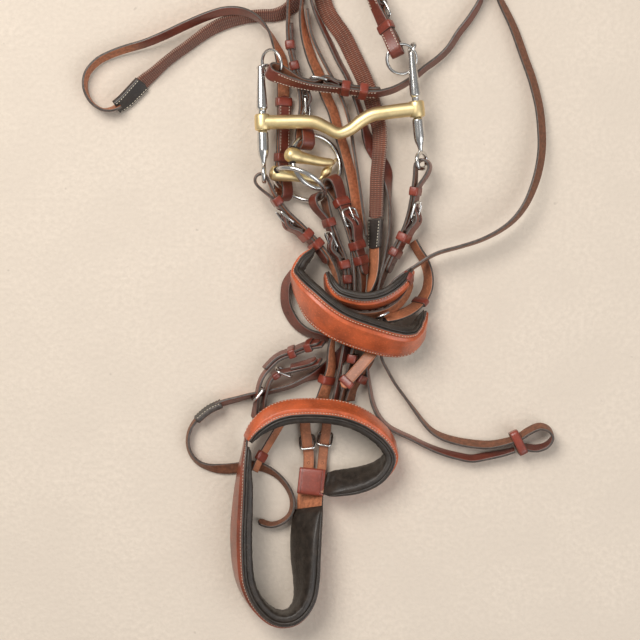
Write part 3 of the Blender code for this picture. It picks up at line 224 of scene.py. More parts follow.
CURB_REIN_RIGHT = [
    (181, -154, 9, 76), (170, -157, 8, 70), (155, -160, 7, 65), (142, -162, 7, 64), (130, -160, 7, 66),
    (115, -156, 7, 70), (100, -150, 7, 75), (87, -143.5, 6.4, 78), (75, -138, 6.4, 78), (66, -133, 6.4, 78),
    (58, -125, 6.4, 78), (51.5, -112, 6.4, 78), (48, -95, 6.4, 80), (46, -80, 6.8, 82),
    (45.5, -67, 8.5, 84), (46.5, -54, 11, 86), (48, -40, 13.5, 90), (49, -20, 13.5, 88), (52, -8, 12, 80),
    (60, 10, 9.5, 78), (64, 30, 8, 84), (66.5, 50, 7, 88), (66.5, 72, 6.8, 86), (65, 90, 6, 60),
    (62.5, 103, 3.2, 18), (57, 113, 1.7, 2), (51, 123, 1.7, 4), (46, 133, 5, 44), (42.5, 145, 7.2, 66),
    (39, 158, 7.2, 68), (34.5, 171, 7.2, 70), (27.5, 188, 7.2, 72), (20, 202, 7.2, 70), (12, 219, 7.5, 70),
    (4, 235, 8.5, 74), (-3, 250, 12, 84), (-6, 262, 16, 90), (-4, 275, 18, 90), (4, 286, 19, 90),
    (16, 291, 19, 90), (30, 289, 18.5, 90), (41, 281, 18, 74), (47, 268, 18.8, 58), (51.5, 254, 21.5, 52),
    (57.5, 240, 26, 45), (63.5, 226, 31, 28), (70.2, 210.5, 34, 10)]
BRADOON_REIN_RIGHT = [
    (-93, -114, 7.6, 72), (-86, -111, 7, 70), (-73, -107.5, 6.6, 72), (-62, -104.5, 6.6, 74),
    (-50, -102, 6.6, 75), (-40, -100, 6.6, 76), (-25, -96, 6.6, 76), (-10, -89, 6.4, 72), (5, -82, 4, 36),
    (18, -72, 1.8, 8), (28, -61, 2, 10), (33, -49, 4.8, 42), (34.5, -38, 9.5, 74), (34.5, -28, 12.5, 88),
    (34.5, -10, 12.8, 90), (34.5, 8, 11.5, 84), (35, 26, 8, 50), (36, 46, 5.6, 30), (36.5, 66, 5.4, 30),
    (34.5, 82, 5.8, 36), (30.5, 100, 6.4, 44), (24, 124, 6.4, 48), (18, 143, 6.4, 48), (14.5, 156, 6.2, 46),
    (8, 171, 6.2, 44), (2, 189, 6.2, 44), (-5, 205, 6.8, 50), (-11, 225, 8, 58), (-14, 243, 11, 74),
    (-14, 258, 13, 86), (-14.5, 268, 14, 90), (-16.5, 275.5, 14, 90), (-20.3, 278.5, 14, 90),
    (-24, 275.5, 13.5, 91), (-25.5, 267, 13, 92), (-26, 258, 12.5, 94), (-26.3, 245, 11, 97),
    (-26.5, 228, 9.8, 97), (-25.5, 213, 9.4, 93), (-22, 197, 9.4, 90), (-18, 182, 10, 90),
    (-15.6, 168, 10.4, 92), (-14.8, 158, 9.8, 98), (-14.5, 148, 9.4, 117), (-14.3, 140, 10.2, 136),
    (-14.2, 133, 11.4, 147), (-14, 127, 12.2, 151)]
BRADOON_REIN_LEFT = [
    (-180.5, 162.2, 8.5, 58), (-184.5, 159.6, 8.8, 66), (-190, 157.9, 8.4, 74), (-197, 158, 8.4, 84),
    (-207, 165, 8.4, 86), (-212.5, 178, 8.4, 80), (-210.5, 191, 8.2, 74), (-201, 202, 8, 70),
    (-190, 208, 8, 68), (-176, 213, 9, 66), (-158, 218, 10.5, 64), (-140, 225, 12.5, 62),
    (-120, 234, 15, 62), (-100, 242, 18, 62), (-83, 246.5, 20, 62), (-68, 246, 20.5, 66),
    (-55, 240.5, 18, 76), (-45, 230.5, 13.5, 92), (-38, 217, 8.5, 116), (-33, 204, 5.2, 144),
    (-31, 190, 4.2, 160), (-31, 175, 4.6, 160), (-31.3, 155, 5.6, 153), (-31.8, 135, 6, 148),
    (-32.8, 115, 6.6, 143), (-34, 98, 6.2, 140), (-34.9, 81.8, 5.4, 140)]
REIN_GRIP = [
    (-165, 177.5, 7.4, 42), (-158.5, 184, 7.4, 50), (-150, 191, 7.4, 60), (-140, 200, 7.4, 66),
    (-130, 208, 7.4, 66), (-120, 215, 7.4, 66), (-110, 222.5, 7.2, 64), (-100, 229.5, 6.8, 60),
    (-88, 236, 6.2, 54), (-76, 240, 6.6, 56), (-62, 243, 7, 58), (-50, 244, 7.2, 58), (-39, 244.5, 7, 56),
    (-28, 249, 6.4, 50), (-19, 258, 5.6, 44), (-14, 269.5, 4.4, 38), (-8, 277.5, 3.4, 32),
    (0, 276, 2.8, 24), (4.5, 267, 2.8, 18), (6, 258, 3, 14), (10.5, 246, 3.9, 13), (17, 236, 4.2, 14),
    (24, 226, 4.4, 15), (34, 206, 4.5, 16), (43, 187, 4.8, 18), (49, 171, 5.8, 24), (53.5, 155, 7.2, 30),
    (57, 140, 9.4, 36), (57.5, 126, 11.2, 42), (56.5, 112, 11.6, 44), (55, 95, 10, 44), (54.5, 78, 9, 44),
    (54, 58, 8.8, 46)]
REIN_SLEEVE_BIT = [(-184, 160, 8.8, 60), (-176, 166, 8.2, 50), (-168, 174, 7.6, 43), (-159.5, 183, 7.4, 40)]
REIN_SLEEVE_HAND = [(54, 57, 8.5, 46), (53.5, 43, 9, 52), (53, 30, 10, 58)]
REIN_HAND_PART = [
    (53.2, 36, 9.6, 50), (53, 29, 10, 46), (52.5, 16, 12, 46), (51, 3, 14, 54), (47.5, -10, 15, 76)]
REIN_SLEEVE_RIGHT = [(-87.5, -111.5, 8.4, 72), (-99, -117, 8.4, 72), (-111, -127, 8.4, 74)]
REIN_TAIL_RIGHT = [
    (-106, -122.6, 7.6, 74), (-112, -128, 6.4, 76), (-117, -137, 6.2, 78), (-118.5, -147, 6.2, 78),
    (-116, -157, 6.2, 76), (-109, -165.5, 6, 70), (-99, -170, 5, 55), (-88, -171.5, 3.6, 28),
    (-75, -171, 2.4, 12), (-62, -168.5, 2.8, 18), (-48, -171, 4.6, 45), (-36, -178, 5.4, 62),
    (-27, -188.5, 5.6, 66), (-22.5, -200, 5.8, 70), (-24, -212, 5.8, 72), (-31, -219.5, 5.6, 72),
    (-42, -223, 5.4, 68), (-54, -219.5, 5, 60)]
HEADSTRAP = [
    (45.2, 42, 10.4, 90), (42.6, 60, 10.4, 90), (38.5, 90, 10, 90), (34, 120, 9, 90), (30, 145, 8.5, 90),
    (24, 165, 8.8, 90), (16.5, 182, 9, 90), (8.5, 197, 9.5, 90), (-.5, 215, 10, 90), (-6, 230, 10.5, 90),
    (-9, 250, 11, 90)]
NOSEBAND_STRAP_RIGHT = [
    (88, 37, 7.4, 88), (93, 28, 7.4, 90), (98, 20, 7.4, 88), (102, 7, 8, 84), (101.5, -5, 10, 80),
    (97.5, -14, 14, 78), (91, -21.5, 20, 78), (82, -27.5, 27, 79), (71, -31.5, 33, 80), (61, -33, 35.5, 80)]
NOSEBAND_STRAP_LEFT = [
    (-21, 9, 7.6, 84), (-27.5, -1, 7.6, 82), (-29, -11, 7.6, 80), (-28, -22, 7.6, 78),
    (-23.5, -32, 7.6, 78), (-17.5, -40, 7.8, 82), (-9, -46, 8, 86), (2, -50, 8, 86), (11, -52.5, 8, 86)]
NOSEBAND_TAIL = [
    (50.5, -64.5, 21.3, 14), (45, -71, 22.3, 16), (38, -79, 22.8, 18), (30, -88, 22.8, 18),
    (23, -96, 22, 16)]
THROAT_STRAP_INNER = [
    (3, -73, 23.5, 80), (-12, -78, 15, 82), (-26, -81.5, 12.2, 84), (-36, -84, 12.2, 86),
    (-43, -90, 12, 88), (-46.5, -100, 11, 88), (-48.5, -110, 9.8, 86), (-49.3, -121, 6.2, 60)]
THROAT_STRAP_OUTER = [
    (6, -57, 24, 82), (-8, -60, 17.5, 82), (-22, -65.5, 12.6, 84), (-34, -70, 12.2, 86),
    (-43, -78, 12.3, 88), (-50, -87, 13.4, 88), (-53.5, -97, 14, 88), (-55, -108, 12.4, 88),
    (-56.5, -118, 8.6, 80), (-57, -126, 6.2, 68)]
CROWN_BRANCH = [
    (-57, -173, 15, 45), (-52.5, -163, 13, 42), (-45, -150, 11, 40), (-36, -135, 9, 40), (-29, -123, 8, 40)]
CROWN_STRAP_P = [
    (-11.5, -195, 5.6, 172), (-9.5, -184, 5.6, 174), (-8, -172, 5.3, 176), (-7.5, -160, 5.2, 177),
    (-9, -147, 5.3, 177), (-10.5, -136, 5.2, 177), (-11, -127, 5, 175)]
CROWN_STRAP_Q = [
    (0.5, -195, 7.0, 172), (2.4, -184, 6.0, 174), (4.3, -172, 5.2, 176), (5.5, -160, 5.1, 177),
    (7, -147, 5.3, 177), (8.5, -136, 5.2, 177), (9, -127, 5, 175)]

# Padded bands: x, y, z, lean, width and depth of the padding, the outer side on the right of travel
CROWN = [
    (-63.8, -141, 23.6, 84, 17, 1.6), (-65, -150, 22, 82, 20, 2), (-67, -165, 24, 78, 23, 4),
    (-69.5, -185, 22.5, 74, 30, 7), (-71.5, -205, 20.3, 72, 34, 8), (-73, -230, 20.8, 72, 37, 8.5),
    (-72, -255, 21, 74, 38, 8.5), (-69, -273, 21, 78, 38, 8.5), (-62, -289, 20.9, 82, 38, 8.5),
    (-52, -301, 20.8, 86, 38, 8.5), (-42, -308.5, 20.6, 88, 38, 8.5), (-32, -311, 20.6, 90, 38, 8.5),
    (-21, -308.5, 20.6, 94, 38, 8.5), (-12, -300, 20.6, 100, 38, 8.5), (-7, -287, 20.2, 108, 38, 8.5),
    (-6, -270, 19.5, 115, 38, 8.5), (-7, -250, 18.7, 122, 38, 8), (-7, -230, 17, 128, 36, 7),
    (-6.5, -213, 14.2, 136, 32, 4), (-6.3, -206, 12.4, 142, 29, 2), (-6.2, -198, 9.4, 155, 26, 0),
    (-6, -190, 6, 170, 22, 0)]
BROWBAND = [
    (-12, -182, 14.0, 174, 16, 0), (-2, -183, 14.4, 170, 17, 0), (8, -185, 15.0, 152, 20, 2.2),
    (15, -186, 15.2, 137, 25.5, 4.4), (23, -186, 15.6, 130, 27, 6.5), (34, -185, 15.2, 125, 28, 7.5),
    (46, -182, 15.2, 121, 28, 7.5), (57, -177, 15.4, 113, 28, 7.5), (66, -169, 16.4, 102, 28, 7.5),
    (70.5, -160, 17.6, 92, 28, 7.5), (69, -150, 19.2, 82, 28, 7.5), (64, -141, 21.6, 74, 28, 7.5),
    (55, -132, 24.4, 68, 28, 7.5), (45, -125, 26.6, 64, 28, 7.5), (32, -119, 28, 61, 28, 7.5),
    (18, -115.5, 28.5, 60, 28, 7.5), (2, -114, 28.8, 60, 28, 7.5), (-14, -114, 29, 60, 28, 7.5),
    (-28, -115.5, 29, 60, 28, 7.5), (-40, -119.5, 29, 61, 28, 7), (-50, -126, 28.4, 63, 27, 5),
    (-58, -134, 27.5, 67, 25, 3), (-63.5, -143, 27, 72, 22, 2)]
NOSEBAND = [
    (-20.5, 8, 22, 88, 26, 6), (-18.5, -2, 26.5, 76, 30, 7), (-14, -11, 32, 64, 34, 7.6),
    (-7, -20, 37.5, 55, 37, 8), (2, -29, 41.5, 51, 38, 8), (15, -38.5, 43.5, 50, 38, 8),
    (28, -45, 44, 50, 38, 8), (42, -50, 44, 50, 38, 8), (55, -54, 43, 51, 38, 8),
    (67, -57, 40.5, 53, 38, 8), (78, -58, 36.5, 57, 37, 8), (87.5, -55.5, 31, 63, 34, 8),
    (94, -49, 25, 73, 30, 7.4), (97, -40, 19, 84, 26, 6)]
# The noseband's two ends go on under it
WRAP_LEFT = [(-4, 27.5, 15, 100, 22, 2.6), (-13.5, 20.5, 18, 95, 24, 4.4)]
WRAP_RIGHT = [(98.5, -30, 15.5, 90, 23, 4.0)]
# The inner turn of the noseband, and the strap inside it by x, y, z and lean
CHIN_PAD = [
    (8, 4, 30, 82, 22, 2), (11, -6, 34, 78, 26, 4), (18, -14.5, 37, 75, 28, 5.5), (29, -19, 38, 74, 29, 6),
    (41, -21, 38, 74, 29, 6), (53, -20, 38, 74, 29, 6), (64, -16, 37.5, 75, 28, 6),
    (74, -9.5, 36, 76, 27, 5.5), (82, -1, 33.5, 79, 24, 4), (86.5, 8, 31, 83, 20, 2)]
CHIN_STRAP = [
    (16, -21, 30, 60), (26, -27.5, 33, 58), (38, -31, 34.5, 57), (50, -31, 34.5, 57), (62, -28, 34, 58),
    (73, -21.5, 32.5, 60), (81, -12, 30, 64), (86, -1, 27, 72)]
CHIN_STRAP_WIDTH = 13.0

# A plain steel bar inside the noseband: x, y and z along it
NOSEBAND_BAR = [(52.5, -34.5, 40.5), (58.5, -31.2, 41.8), (65, -27.6, 42.2)]
NOSEBAND_BAR_R = 1.5

# Curb bit. Mouthpiece: x, y, z and radius. Cheeks: a point and a direction, radii along the shank, and the
# eye's outline along and beside it round a place on the axis.
MOUTHPIECE = [
    (-50, 144.5, 26, 5.3), (-30, 144.8, 26, 5.5), (-10, 145, 26, 5.5), (-1, 144, 26, 5.3),
    (9, 139.5, 26, 4.8), (20, 134.5, 26, 4.6), (30, 138, 26, 4.7), (40, 145.5, 26.2, 5.1),
    (50, 151, 26.5, 5.4), (64, 153.5, 26.8, 5.5), (80, 155.5, 27, 5.5), (90.6, 156.5, 27, 5.3)]
LEFT_CHEEK_AXIS = ((-49.5, 144.5, 26.0), (-0.03, 1.0, -0.03))
RIGHT_CHEEK_AXIS = ((90.6, 156.5, 27.0), (-0.1, 1.0, 0.08))
CHEEK_PROFILE = [
    (-40.3, 2.1), (-36, 2.3), (-33.5, 3.0), (-30, 4.4), (-26, 5.2), (-9, 5.1), (-8.4, 3.5), (11.4, 3.5),
    (12, 5.1), (18, 4.9), (30, 4.2), (44, 3.3), (51, 2.9), (52, 2.2)]
CHEEK_EYE = [
    (-7.0, -3.8), (-5.8, -8.0), (-1.5, -10.2), (3.0, -9.6), (6.4, -5.6), (7.6, 0.0), (6.4, 5.6), (3.0, 9.6),
    (-1.5, 10.2), (-5.8, 8.0), (-7.0, 3.8)]
CHEEK_EYE_AT = -47.0
RIGHT_EYE_TILT = math.radians(27.0)
# Bradoon. Arms: x, y, z and radius.
ARM_LEFT = [
    (-28.8, 115.9, 32.6, 2.6), (-27.4, 115.5, 32.2, 4.8), (-24.6, 114.8, 31.5, 6.2),
    (-19.7, 113.7, 30.1, 6.3), (-14, 112.3, 27.8, 5.2), (-7, 111, 24.8, 4.4), (1, 109.6, 21, 4.0),
    (8, 108.9, 17.6, 3.7), (13, 109, 15.1, 3.2), (15.3, 109.1, 14.1, 2.2)]
ARM_RIGHT = [
    (-42.2, 98.5, 30.9, 2.6), (-41.6, 98.4, 30.7, 4.6), (-39.8, 98.2, 30.3, 6.0), (-36, 97.7, 29.2, 6.2),
    (-28.5, 96.6, 26.6, 5.2), (-19, 95.4, 22.8, 4.2), (-9, 93.9, 18.8, 3.8), (-4, 92.7, 17.2, 3.2),
    (-.8, 91.5, 15.4, 2.6), (1, 91.1, 14.1, 2.1)]
LINK_CENTRE = (8.5, 100.5, 9.8)
LINK_DIRECTION = (0.62, 0.785, 0.0)
# Rings: centre and two directions in their plane, and the angle at which an arm holds a bradoon ring
RING_A = ((-0.7, 109.3, 18.6), (-0.45, 0.89, 0.0), (0.725, 0.367, -0.58))
RING_B = ((-16.0, 88.0, 29.0), (-0.917, 0.4, 0.0), (0.175, 0.402, 0.899))
RING_A_AT_ARM = math.radians(-56.0)
RING_B_AT_ARM = math.radians(3.0)
CURB_RING_LEFT = ((-41.0, 198.0, 28.4), (-0.28, 0.96, 0.0), (0.68, 0.20, 0.707))
CURB_RING_RIGHT = ((77.0, 202.0, 26.4), (0.993, 0.0, -0.12), (0.0, 0.988, 0.155))


def leant(route, turn):
    """A route with its lean turned by so many degrees."""
    return [(x, y, z, lean + turn) for x, y, z, lean in route]


SLANTED_RIGHT = leant(NOSEBAND_STRAP_RIGHT, -30)
SLANTED_LEFT = leant(NOSEBAND_STRAP_LEFT, -24)
SLANTED_INNER = leant(THROAT_STRAP_INNER, -12)
SLANTED_OUTER = leant(THROAT_STRAP_OUTER, -12)

# Turned straps: route, side of the returning layer, turn, closing distance, end, width, bar and keepers
TURNED = {
    "curb_cheekpiece_left": (CURB_CHEEK_LEFT, -1, 11.5, 22, 98, STRAP_WIDTH, 46, (23, 64, (9, -90))),
    "bradoon_cheekpiece_left": (BRADOON_CHEEK_LEFT, -1, 13.0, 21, 94, STRAP_WIDTH, 44, (21, 62, 76)),
    "bradoon_cheekpiece_right": (BRADOON_CHEEK_RIGHT, 1, 12.0, 19, 88, STRAP_WIDTH, 42,
                                 (18.5, 60, 74, (29, -70))),
    "curb_cheekpiece_right": (CURB_CHEEK_RIGHT, 1, 13.0, 22, 102, STRAP_WIDTH, 47, (22, 65, 81, (39, -88))),
    "curb_rein_left": (CURB_REIN_LEFT, 1, 11.5, 28, 102, STRAP_WIDTH, 49, (67,)),
    "curb_rein_right": (CURB_REIN_RIGHT, -1, 11.0, 22, 80, STRAP_WIDTH, 46, (22, 64)),
    "bradoon_rein_right": (BRADOON_REIN_RIGHT, -1, 13.4, 22, 112, 13.0, 41, (71, 91)),
    "bradoon_rein_left": (BRADOON_REIN_LEFT, -1, 12.6, 30, 90, 12.0, None, (32, 64, 83)),
}
# Stretches, from place to place, where a turned strap lies with its flesh side up
TWISTED = {
    "bradoon_rein_right": ((34.5, -36), (-14, 262)),
    "curb_cheekpiece_left": ((3, -112), (16, -40)),
    "bradoon_rein_left": ((-180.5, 162.2), (-165, 216)),
}
# Sewn stretches of turned straps that aren't the usual: from and to distances back from the turn
SEWN = {"curb_rein_left": [(4, 62), (72, 96)]}
SEWN_BACK = {"bradoon_rein_left": (38, 86)}

# Plain straps: route, width, thickness, finish
PLAIN = {
    "rein_grip": (REIN_GRIP, 15.5, 3.4, "web"),
    "rein_sleeve_bit_end": (REIN_SLEEVE_BIT, 16.5, 4.8, "sleeve"),
    "rein_sleeve_hand_end": (REIN_SLEEVE_HAND, 16.5, 4.8, "sleeve"),
    "rein_hand_part": (REIN_HAND_PART, 13.0, STRAP_THICK, "flesh"),
    "rein_sleeve_right": (REIN_SLEEVE_RIGHT, 15.0, 4.6, "sleeve"),
    "rein_tail_right": (REIN_TAIL_RIGHT, 10.0, STRAP_THICK, "strap"),
    "noseband_headstrap": (HEADSTRAP, 10.0, 3.0, "flesh"),
    "noseband_strap_right": (SLANTED_RIGHT, 13.0, STRAP_THICK, "flesh"),
    "noseband_strap_left": (SLANTED_LEFT, 14.0, STRAP_THICK, "strap"),
    "noseband_tail": (NOSEBAND_TAIL, 11.0, STRAP_THICK, "flesh"),
    "throat_strap_inner": (SLANTED_INNER, 12.0, STRAP_THICK, "strap"),
    "throat_strap_outer": (SLANTED_OUTER, 12.0, STRAP_THICK, "strap"),
    "crown_branch": (CROWN_BRANCH, 8.5, THIN_THICK, "flesh"),
}
# Straps with a round end, straps with their grain on the path's under side, and the sewn sleeves
ROUND_ENDED = ("rein_tail_right", "noseband_tail", "noseband_strap_left")
FACE_DOWN = ("rein_tail_right", "noseband_headstrap")
SLEEVES = ("rein_sleeve_bit_end", "rein_sleeve_hand_end", "rein_sleeve_right")
CROWN_STRAPS = {"crown_strap_left": (CROWN_STRAP_P, 10.0), "crown_strap_right": (CROWN_STRAP_Q, 9.0)}

# Second layers over a strap: the strap, and the start and end of the stretch. They lie closer at their ends.
BILLET_LEAD = 6
BILLET_EASE = 9
BILLET_CLOSEST = 0.86
BILLETS = {
    "throat_billet_outer": ("throat_strap_outer", 2, 62),
    "throat_billet_inner": ("throat_strap_inner", 2, 30),
}

# Padded bands: route and finish of the outer leather
BANDS = {
    "crown": (CROWN, "crown"),
    "browband": (BROWBAND, "panel"),
    "noseband": (WRAP_LEFT + NOSEBAND + WRAP_RIGHT, "panel"),
    "chin_pad": (CHIN_PAD, "panel"),
}

# Sliding loops: their turned strap and distance back from the turn
RUNNERS = {"curb_cheek_runner": ("curb_cheekpiece_left", 77), "curb_rein_runner": ("curb_rein_left", 83)}
# Loops round a single strap: route, place, width and thickness held, length and number of layers
LONE_KEEPERS = {
    "throat_keeper_upper": (SLANTED_OUTER, (-22, -65.5), 12.0, STRAP_THICK, LONE_LENGTH, 2),
    "throat_keeper_top": (SLANTED_OUTER, (-6, -60), 12.0, STRAP_THICK, LONE_LENGTH, 2),
    "throat_keeper_lower": (SLANTED_INNER, (-38, -85), 12.0, STRAP_THICK, LONE_LENGTH, 1),
    "noseband_loop_strap": (SLANTED_RIGHT, (94.5, -18), 13.0, STRAP_THICK, LONE_LENGTH, 1),
    "noseband_tail_keeper": (NOSEBAND_TAIL, (27, -91.5), 11.0, STRAP_THICK, LONE_LENGTH, 1),
    "browband_tab": (BROWBAND, (-5.2, -182.9), 21.4, PANEL_THICK + 1.4, 24.0, 1),
    "crown_branch_keeper": (CROWN_BRANCH, (-51, -160), 8.5, THIN_THICK, 9.0, 1),
}
# Two loops by their half width, low and high side: at the chin pad's end, and where the curb reins meet
CHIN_KEEPER_FROM_END = 8
CHIN_KEEPER_SIZE = (11.4, -5.0, 2.6)
REIN_END_PLACE = ((184.3, -147.2, 9.2), (0.894, 0.447, 0), (-0.447, 0.894, 0), (0, 0, 1.0))
REIN_END_SIZE = (11.0, -8.2, 8.0)

# Buckles without a tongue: route, place and the width of the strap
SLIP_BUCKLES = {
    "throat_buckle_inner": (SLANTED_INNER, (-30, -82.5), 12.0),
    "throat_buckle_outer": (SLANTED_OUTER, (-54.5, -102), 12.0),
    "crown_buckle_left": (CROWN_STRAP_P, (-9, -147), 10.0),
    "crown_buckle_right": (CROWN_STRAP_Q, (7.5, -144), 9.0),
}
# Holes in single straps: route, place, thickness and side
PLAIN_HOLES = (
    (CROWN_STRAP_P, (-7, -166), THIN_THICK, -1),
    (CROWN_STRAP_Q, (6, -166), THIN_THICK, -1),
    (SLANTED_LEFT, (-16, -23), STRAP_THICK, 1),
)

# Half a buckle frame: forwards of the bar, and in from its full half width
FRAME_CORNERS = (
    (0, 2.4), (0.6, 0.5), (2.2, 0), (FRAME_REACH - 5.0, 0), (FRAME_REACH - 1.2, 0.9), (FRAME_REACH, 3.4))
# A chape before and after its fold: forwards of the bar and height over the strap
CHAPE_UPPER = [(-CHAPE_LENGTH, STRAP_THICK / 2 + 2.1), (-8, 5.2), (-4, 7.0)]
CHAPE_LOWER = [(-4, 3.0), (-8, STRAP_THICK / 2 + 0.75), (-CHAPE_LENGTH, STRAP_THICK / 2 + 0.7)]
# A tongue past its eye, over its resting height, and its girth by share of its length
TONGUE_LINE = ((4, 0), (8, 0.2), (12, 0.1), (FRAME_REACH + 1.2, 0))
TONGUE_GIRTH = ((0, 0.5, 0.9, 1), (0.95, 1.0, 0.85, 0.45))
# A punched hole: radius and height of each ring of its dish
HOLE_RINGS = np.array([(0.01, -0.1), (1.05, -0.08), (1.3, 0.12), (1.45, -0.3)])
# A stitch: share of its length, girth and rise of each ring of its capsule
STITCH_RINGS = np.array([
    (0.0, 0.05, -0.5), (0.18, 0.75, 0.0), (0.5, 1.0, 0.2), (0.82, 0.75, 0.0), (1.0, 0.05, -0.5)])
STITCH_SIDES = 6
# Columns across a strap's face, the angles of its round edge, and the ring columns beside a slot
FACE_COLUMNS = np.array([-1, -0.75, -0.5, -0.27, 0, 0.27, 0.5, 0.75, 1])
EDGE_ANGLES = np.linspace(math.pi / 2, -math.pi / 2, 7)[1:-1]
SLOT_FACE = np.array([3, 4, 5])
SLOT_BACK = np.array([19, 18, 17])

# A boss of the mouthpiece: along the cheek's axis and out from it
BOSS_PROFILE = [
    (-BOSS_HALF, BOSS_BORE), (-BOSS_HALF, BOSS_R - 1.6), (-BOSS_HALF + 0.5, BOSS_R - 0.6),
    (-BOSS_HALF + 1.4, BOSS_R - 0.1), (-2.5, BOSS_R), (0, BOSS_R + 0.1), (2.5, BOSS_R),
    (BOSS_HALF - 1.4, BOSS_R - 0.1), (BOSS_HALF - 0.5, BOSS_R - 0.6), (BOSS_HALF, BOSS_R - 1.6),
    (BOSS_HALF, BOSS_BORE), (0, BOSS_BORE)]
# Curb cheeks: axis, tilt of the eye, and their ring with its radius and the eyelet's place on it
CHEEKS = {
    "left": (LEFT_CHEEK_AXIS, 0.0, CURB_RING_LEFT, CURB_RING_R, math.radians(270)),
    "right": (RIGHT_CHEEK_AXIS, RIGHT_EYE_TILT, CURB_RING_RIGHT, CURB_RING_RIGHT_R, math.radians(48)),
}
# Bradoon sides: arm, its side of the link, ring, the ring's radius and where the arm holds it
BRADOON = {
    "left": (ARM_LEFT, 1, RING_A, BRADOON_RING_A_R, RING_A_AT_ARM),
    "right": (ARM_RIGHT, -1, RING_B, BRADOON_RING_B_R, RING_B_AT_ARM),
}
ARM_SIDE = (0.25, 0.97, 0.1)
UP = np.array((0, 0, 1.0))

# Stage, in metres: lamps by place, size, watts and colour, and half the width that the camera sees
LAMPS = {
    "key": ((-0.9, 1.1, 2.0), 1.4, 50, (1.0, 0.97, 0.93)),
    "fill": ((1.4, -0.9, 1.8), 1.8, 22.5, (0.95, 0.97, 1.0)),
}
SKY_COLOUR = (1.0, 0.985, 0.965, 1.0)
SKY_STRENGTH = 0.28
FLOOR_HALF = 3
CAMERA_PLACE = (0.0028, -0.0243, 2.0)
HALF_VIEW = 0.2944

# Paths


def unit(rows):
    """Each row of an array at length one."""
    return rows / np.maximum(np.linalg.norm(rows, axis=-1, keepdims=True), 1e-9)


def smooth(share):
    """A smooth step over 0 to 1: t t (3 - 2t)."""
    return share * share * (3 - 2 * share)


def squared(value, power):
    """A sine or cosine pushed out towards a square corner: its sign times its size to a power."""
    return np.sign(value) * np.abs(value) ** power


def turns(count):
    """Even angles once round."""
    return np.linspace(0, 2 * math.pi, count, endpoint=False)


def run_along(points):
    """Length of a line up to each of its points."""
    return np.concatenate([[0.0], np.cumsum(np.linalg.norm(np.diff(points, axis=0), axis=1))])


def spline(route, spacing=1.0):
    """Points on a centripetal spline: three rounds of straight blends between four neighbours.

    Each gap between knots is the square root of the distance between the neighbours.
    """
    points = np.array(route, dtype=float)
    ends = np.vstack([2 * points[0] - points[1], points, 2 * points[-1] - points[-2]])
    rows = []
    for a, b, c, d in zip(ends, ends[1:], ends[2:], ends[3:]):
        far = [max(np.linalg.norm((q - p)[:3]), 1e-6) for p, q in ((a, b), (b, c), (c, d))]
        t1, t2, t3 = np.cumsum(np.sqrt(far))
        t = np.linspace(t1, t2, max(2, int(far[1] / spacing)), endpoint=False)[:, None]
        ab = a * (t1 - t) / t1 + b * t / t1
        bc = b * (t2 - t) / (t2 - t1) + c * (t - t1) / (t2 - t1)
        cd = c * (t3 - t) / (t3 - t2) + d * (t - t2) / (t3 - t2)
        abc = ab * (t2 - t) / t2 + bc * t / t2
        bcd = bc * (t3 - t) / (t3 - t1) + cd * (t - t1) / (t3 - t1)
        rows.append(abc * (t2 - t) / (t2 - t1) + bcd * (t - t1) / (t2 - t1))
    return np.vstack([*rows, points[-1]])


class Path:
    """Centre points with a width direction and a face direction, and the length run so far."""

    def __init__(self, centre, width, columns=None):
        self.centre = np.asarray(centre, dtype=float)
        self.columns = columns
        self.run = run_along(self.centre)
        self.along = unit(np.gradient(self.centre, axis=0))
        self.across = unit(width - self.along * np.sum(width * self.along, axis=1, keepdims=True))
        self.out = np.cross(self.along, self.across)

    @property
    def length(self):
        """The whole run."""
        return self.run[-1]

    def at(self, run):
        """Centre, along, across and out at any lengths of the run, each by straight blending."""
        rows = [np.column_stack([np.interp(run, self.run, v[:, c]) for c in range(3)])
                for v in (self.centre, self.along, self.across, self.out)]
        return rows[0], unit(rows[1]), unit(rows[2]), unit(rows[3])

    def place(self, run):
        """The same four at one length of the run."""
        return [rows[0] for rows in self.at([run])]

    def nearest(self, x, y):
        """Length of the run where it passes nearest to a point in plan."""
        return self.run[int(np.argmin(np.hypot(self.centre[:, 0] - x, self.centre[:, 1] - y)))]

    def section(self, across, out):
        """A row of points at each centre, moved across and out."""
        moved = self.centre[:, None] + self.across[:, None] * across[..., None]
        return moved + self.out[:, None] * out[..., None]

    def resampled(self, spacing):
        """The same path at an even spacing."""
        count = max(3, int(self.length / spacing) + 1)
        centre, _, across, _ = self.at(np.linspace(0, self.length, count))
        return Path(centre, across)


def leaning(route, width=0.0, thick=0.0):
    """A path whose width leans from flat at 0 to on edge at 90: cos(lean) left + sin(lean) up.

    The centre is lifted where a strap of the given width and thickness would dip into the floor.
    """
    dense = spline(route)
    centre = dense[:, :3].copy()
    lean = np.radians(dense[:, 3])[:, None]
    lowest = width / 2 * np.abs(np.sin(lean)) + thick / 2 * np.abs(np.cos(lean)) + FLOOR_GAP
    centre[:, 2] = np.maximum(centre[:, 2], lowest[:, 0])
    along = unit(np.gradient(centre, axis=0))
    left = unit(np.cross((0.0, 0.0, 1.0), along))
    up = np.cross(along, left)
    return Path(centre, np.cos(lean) * left + np.sin(lean) * up, dense[:, 4:])


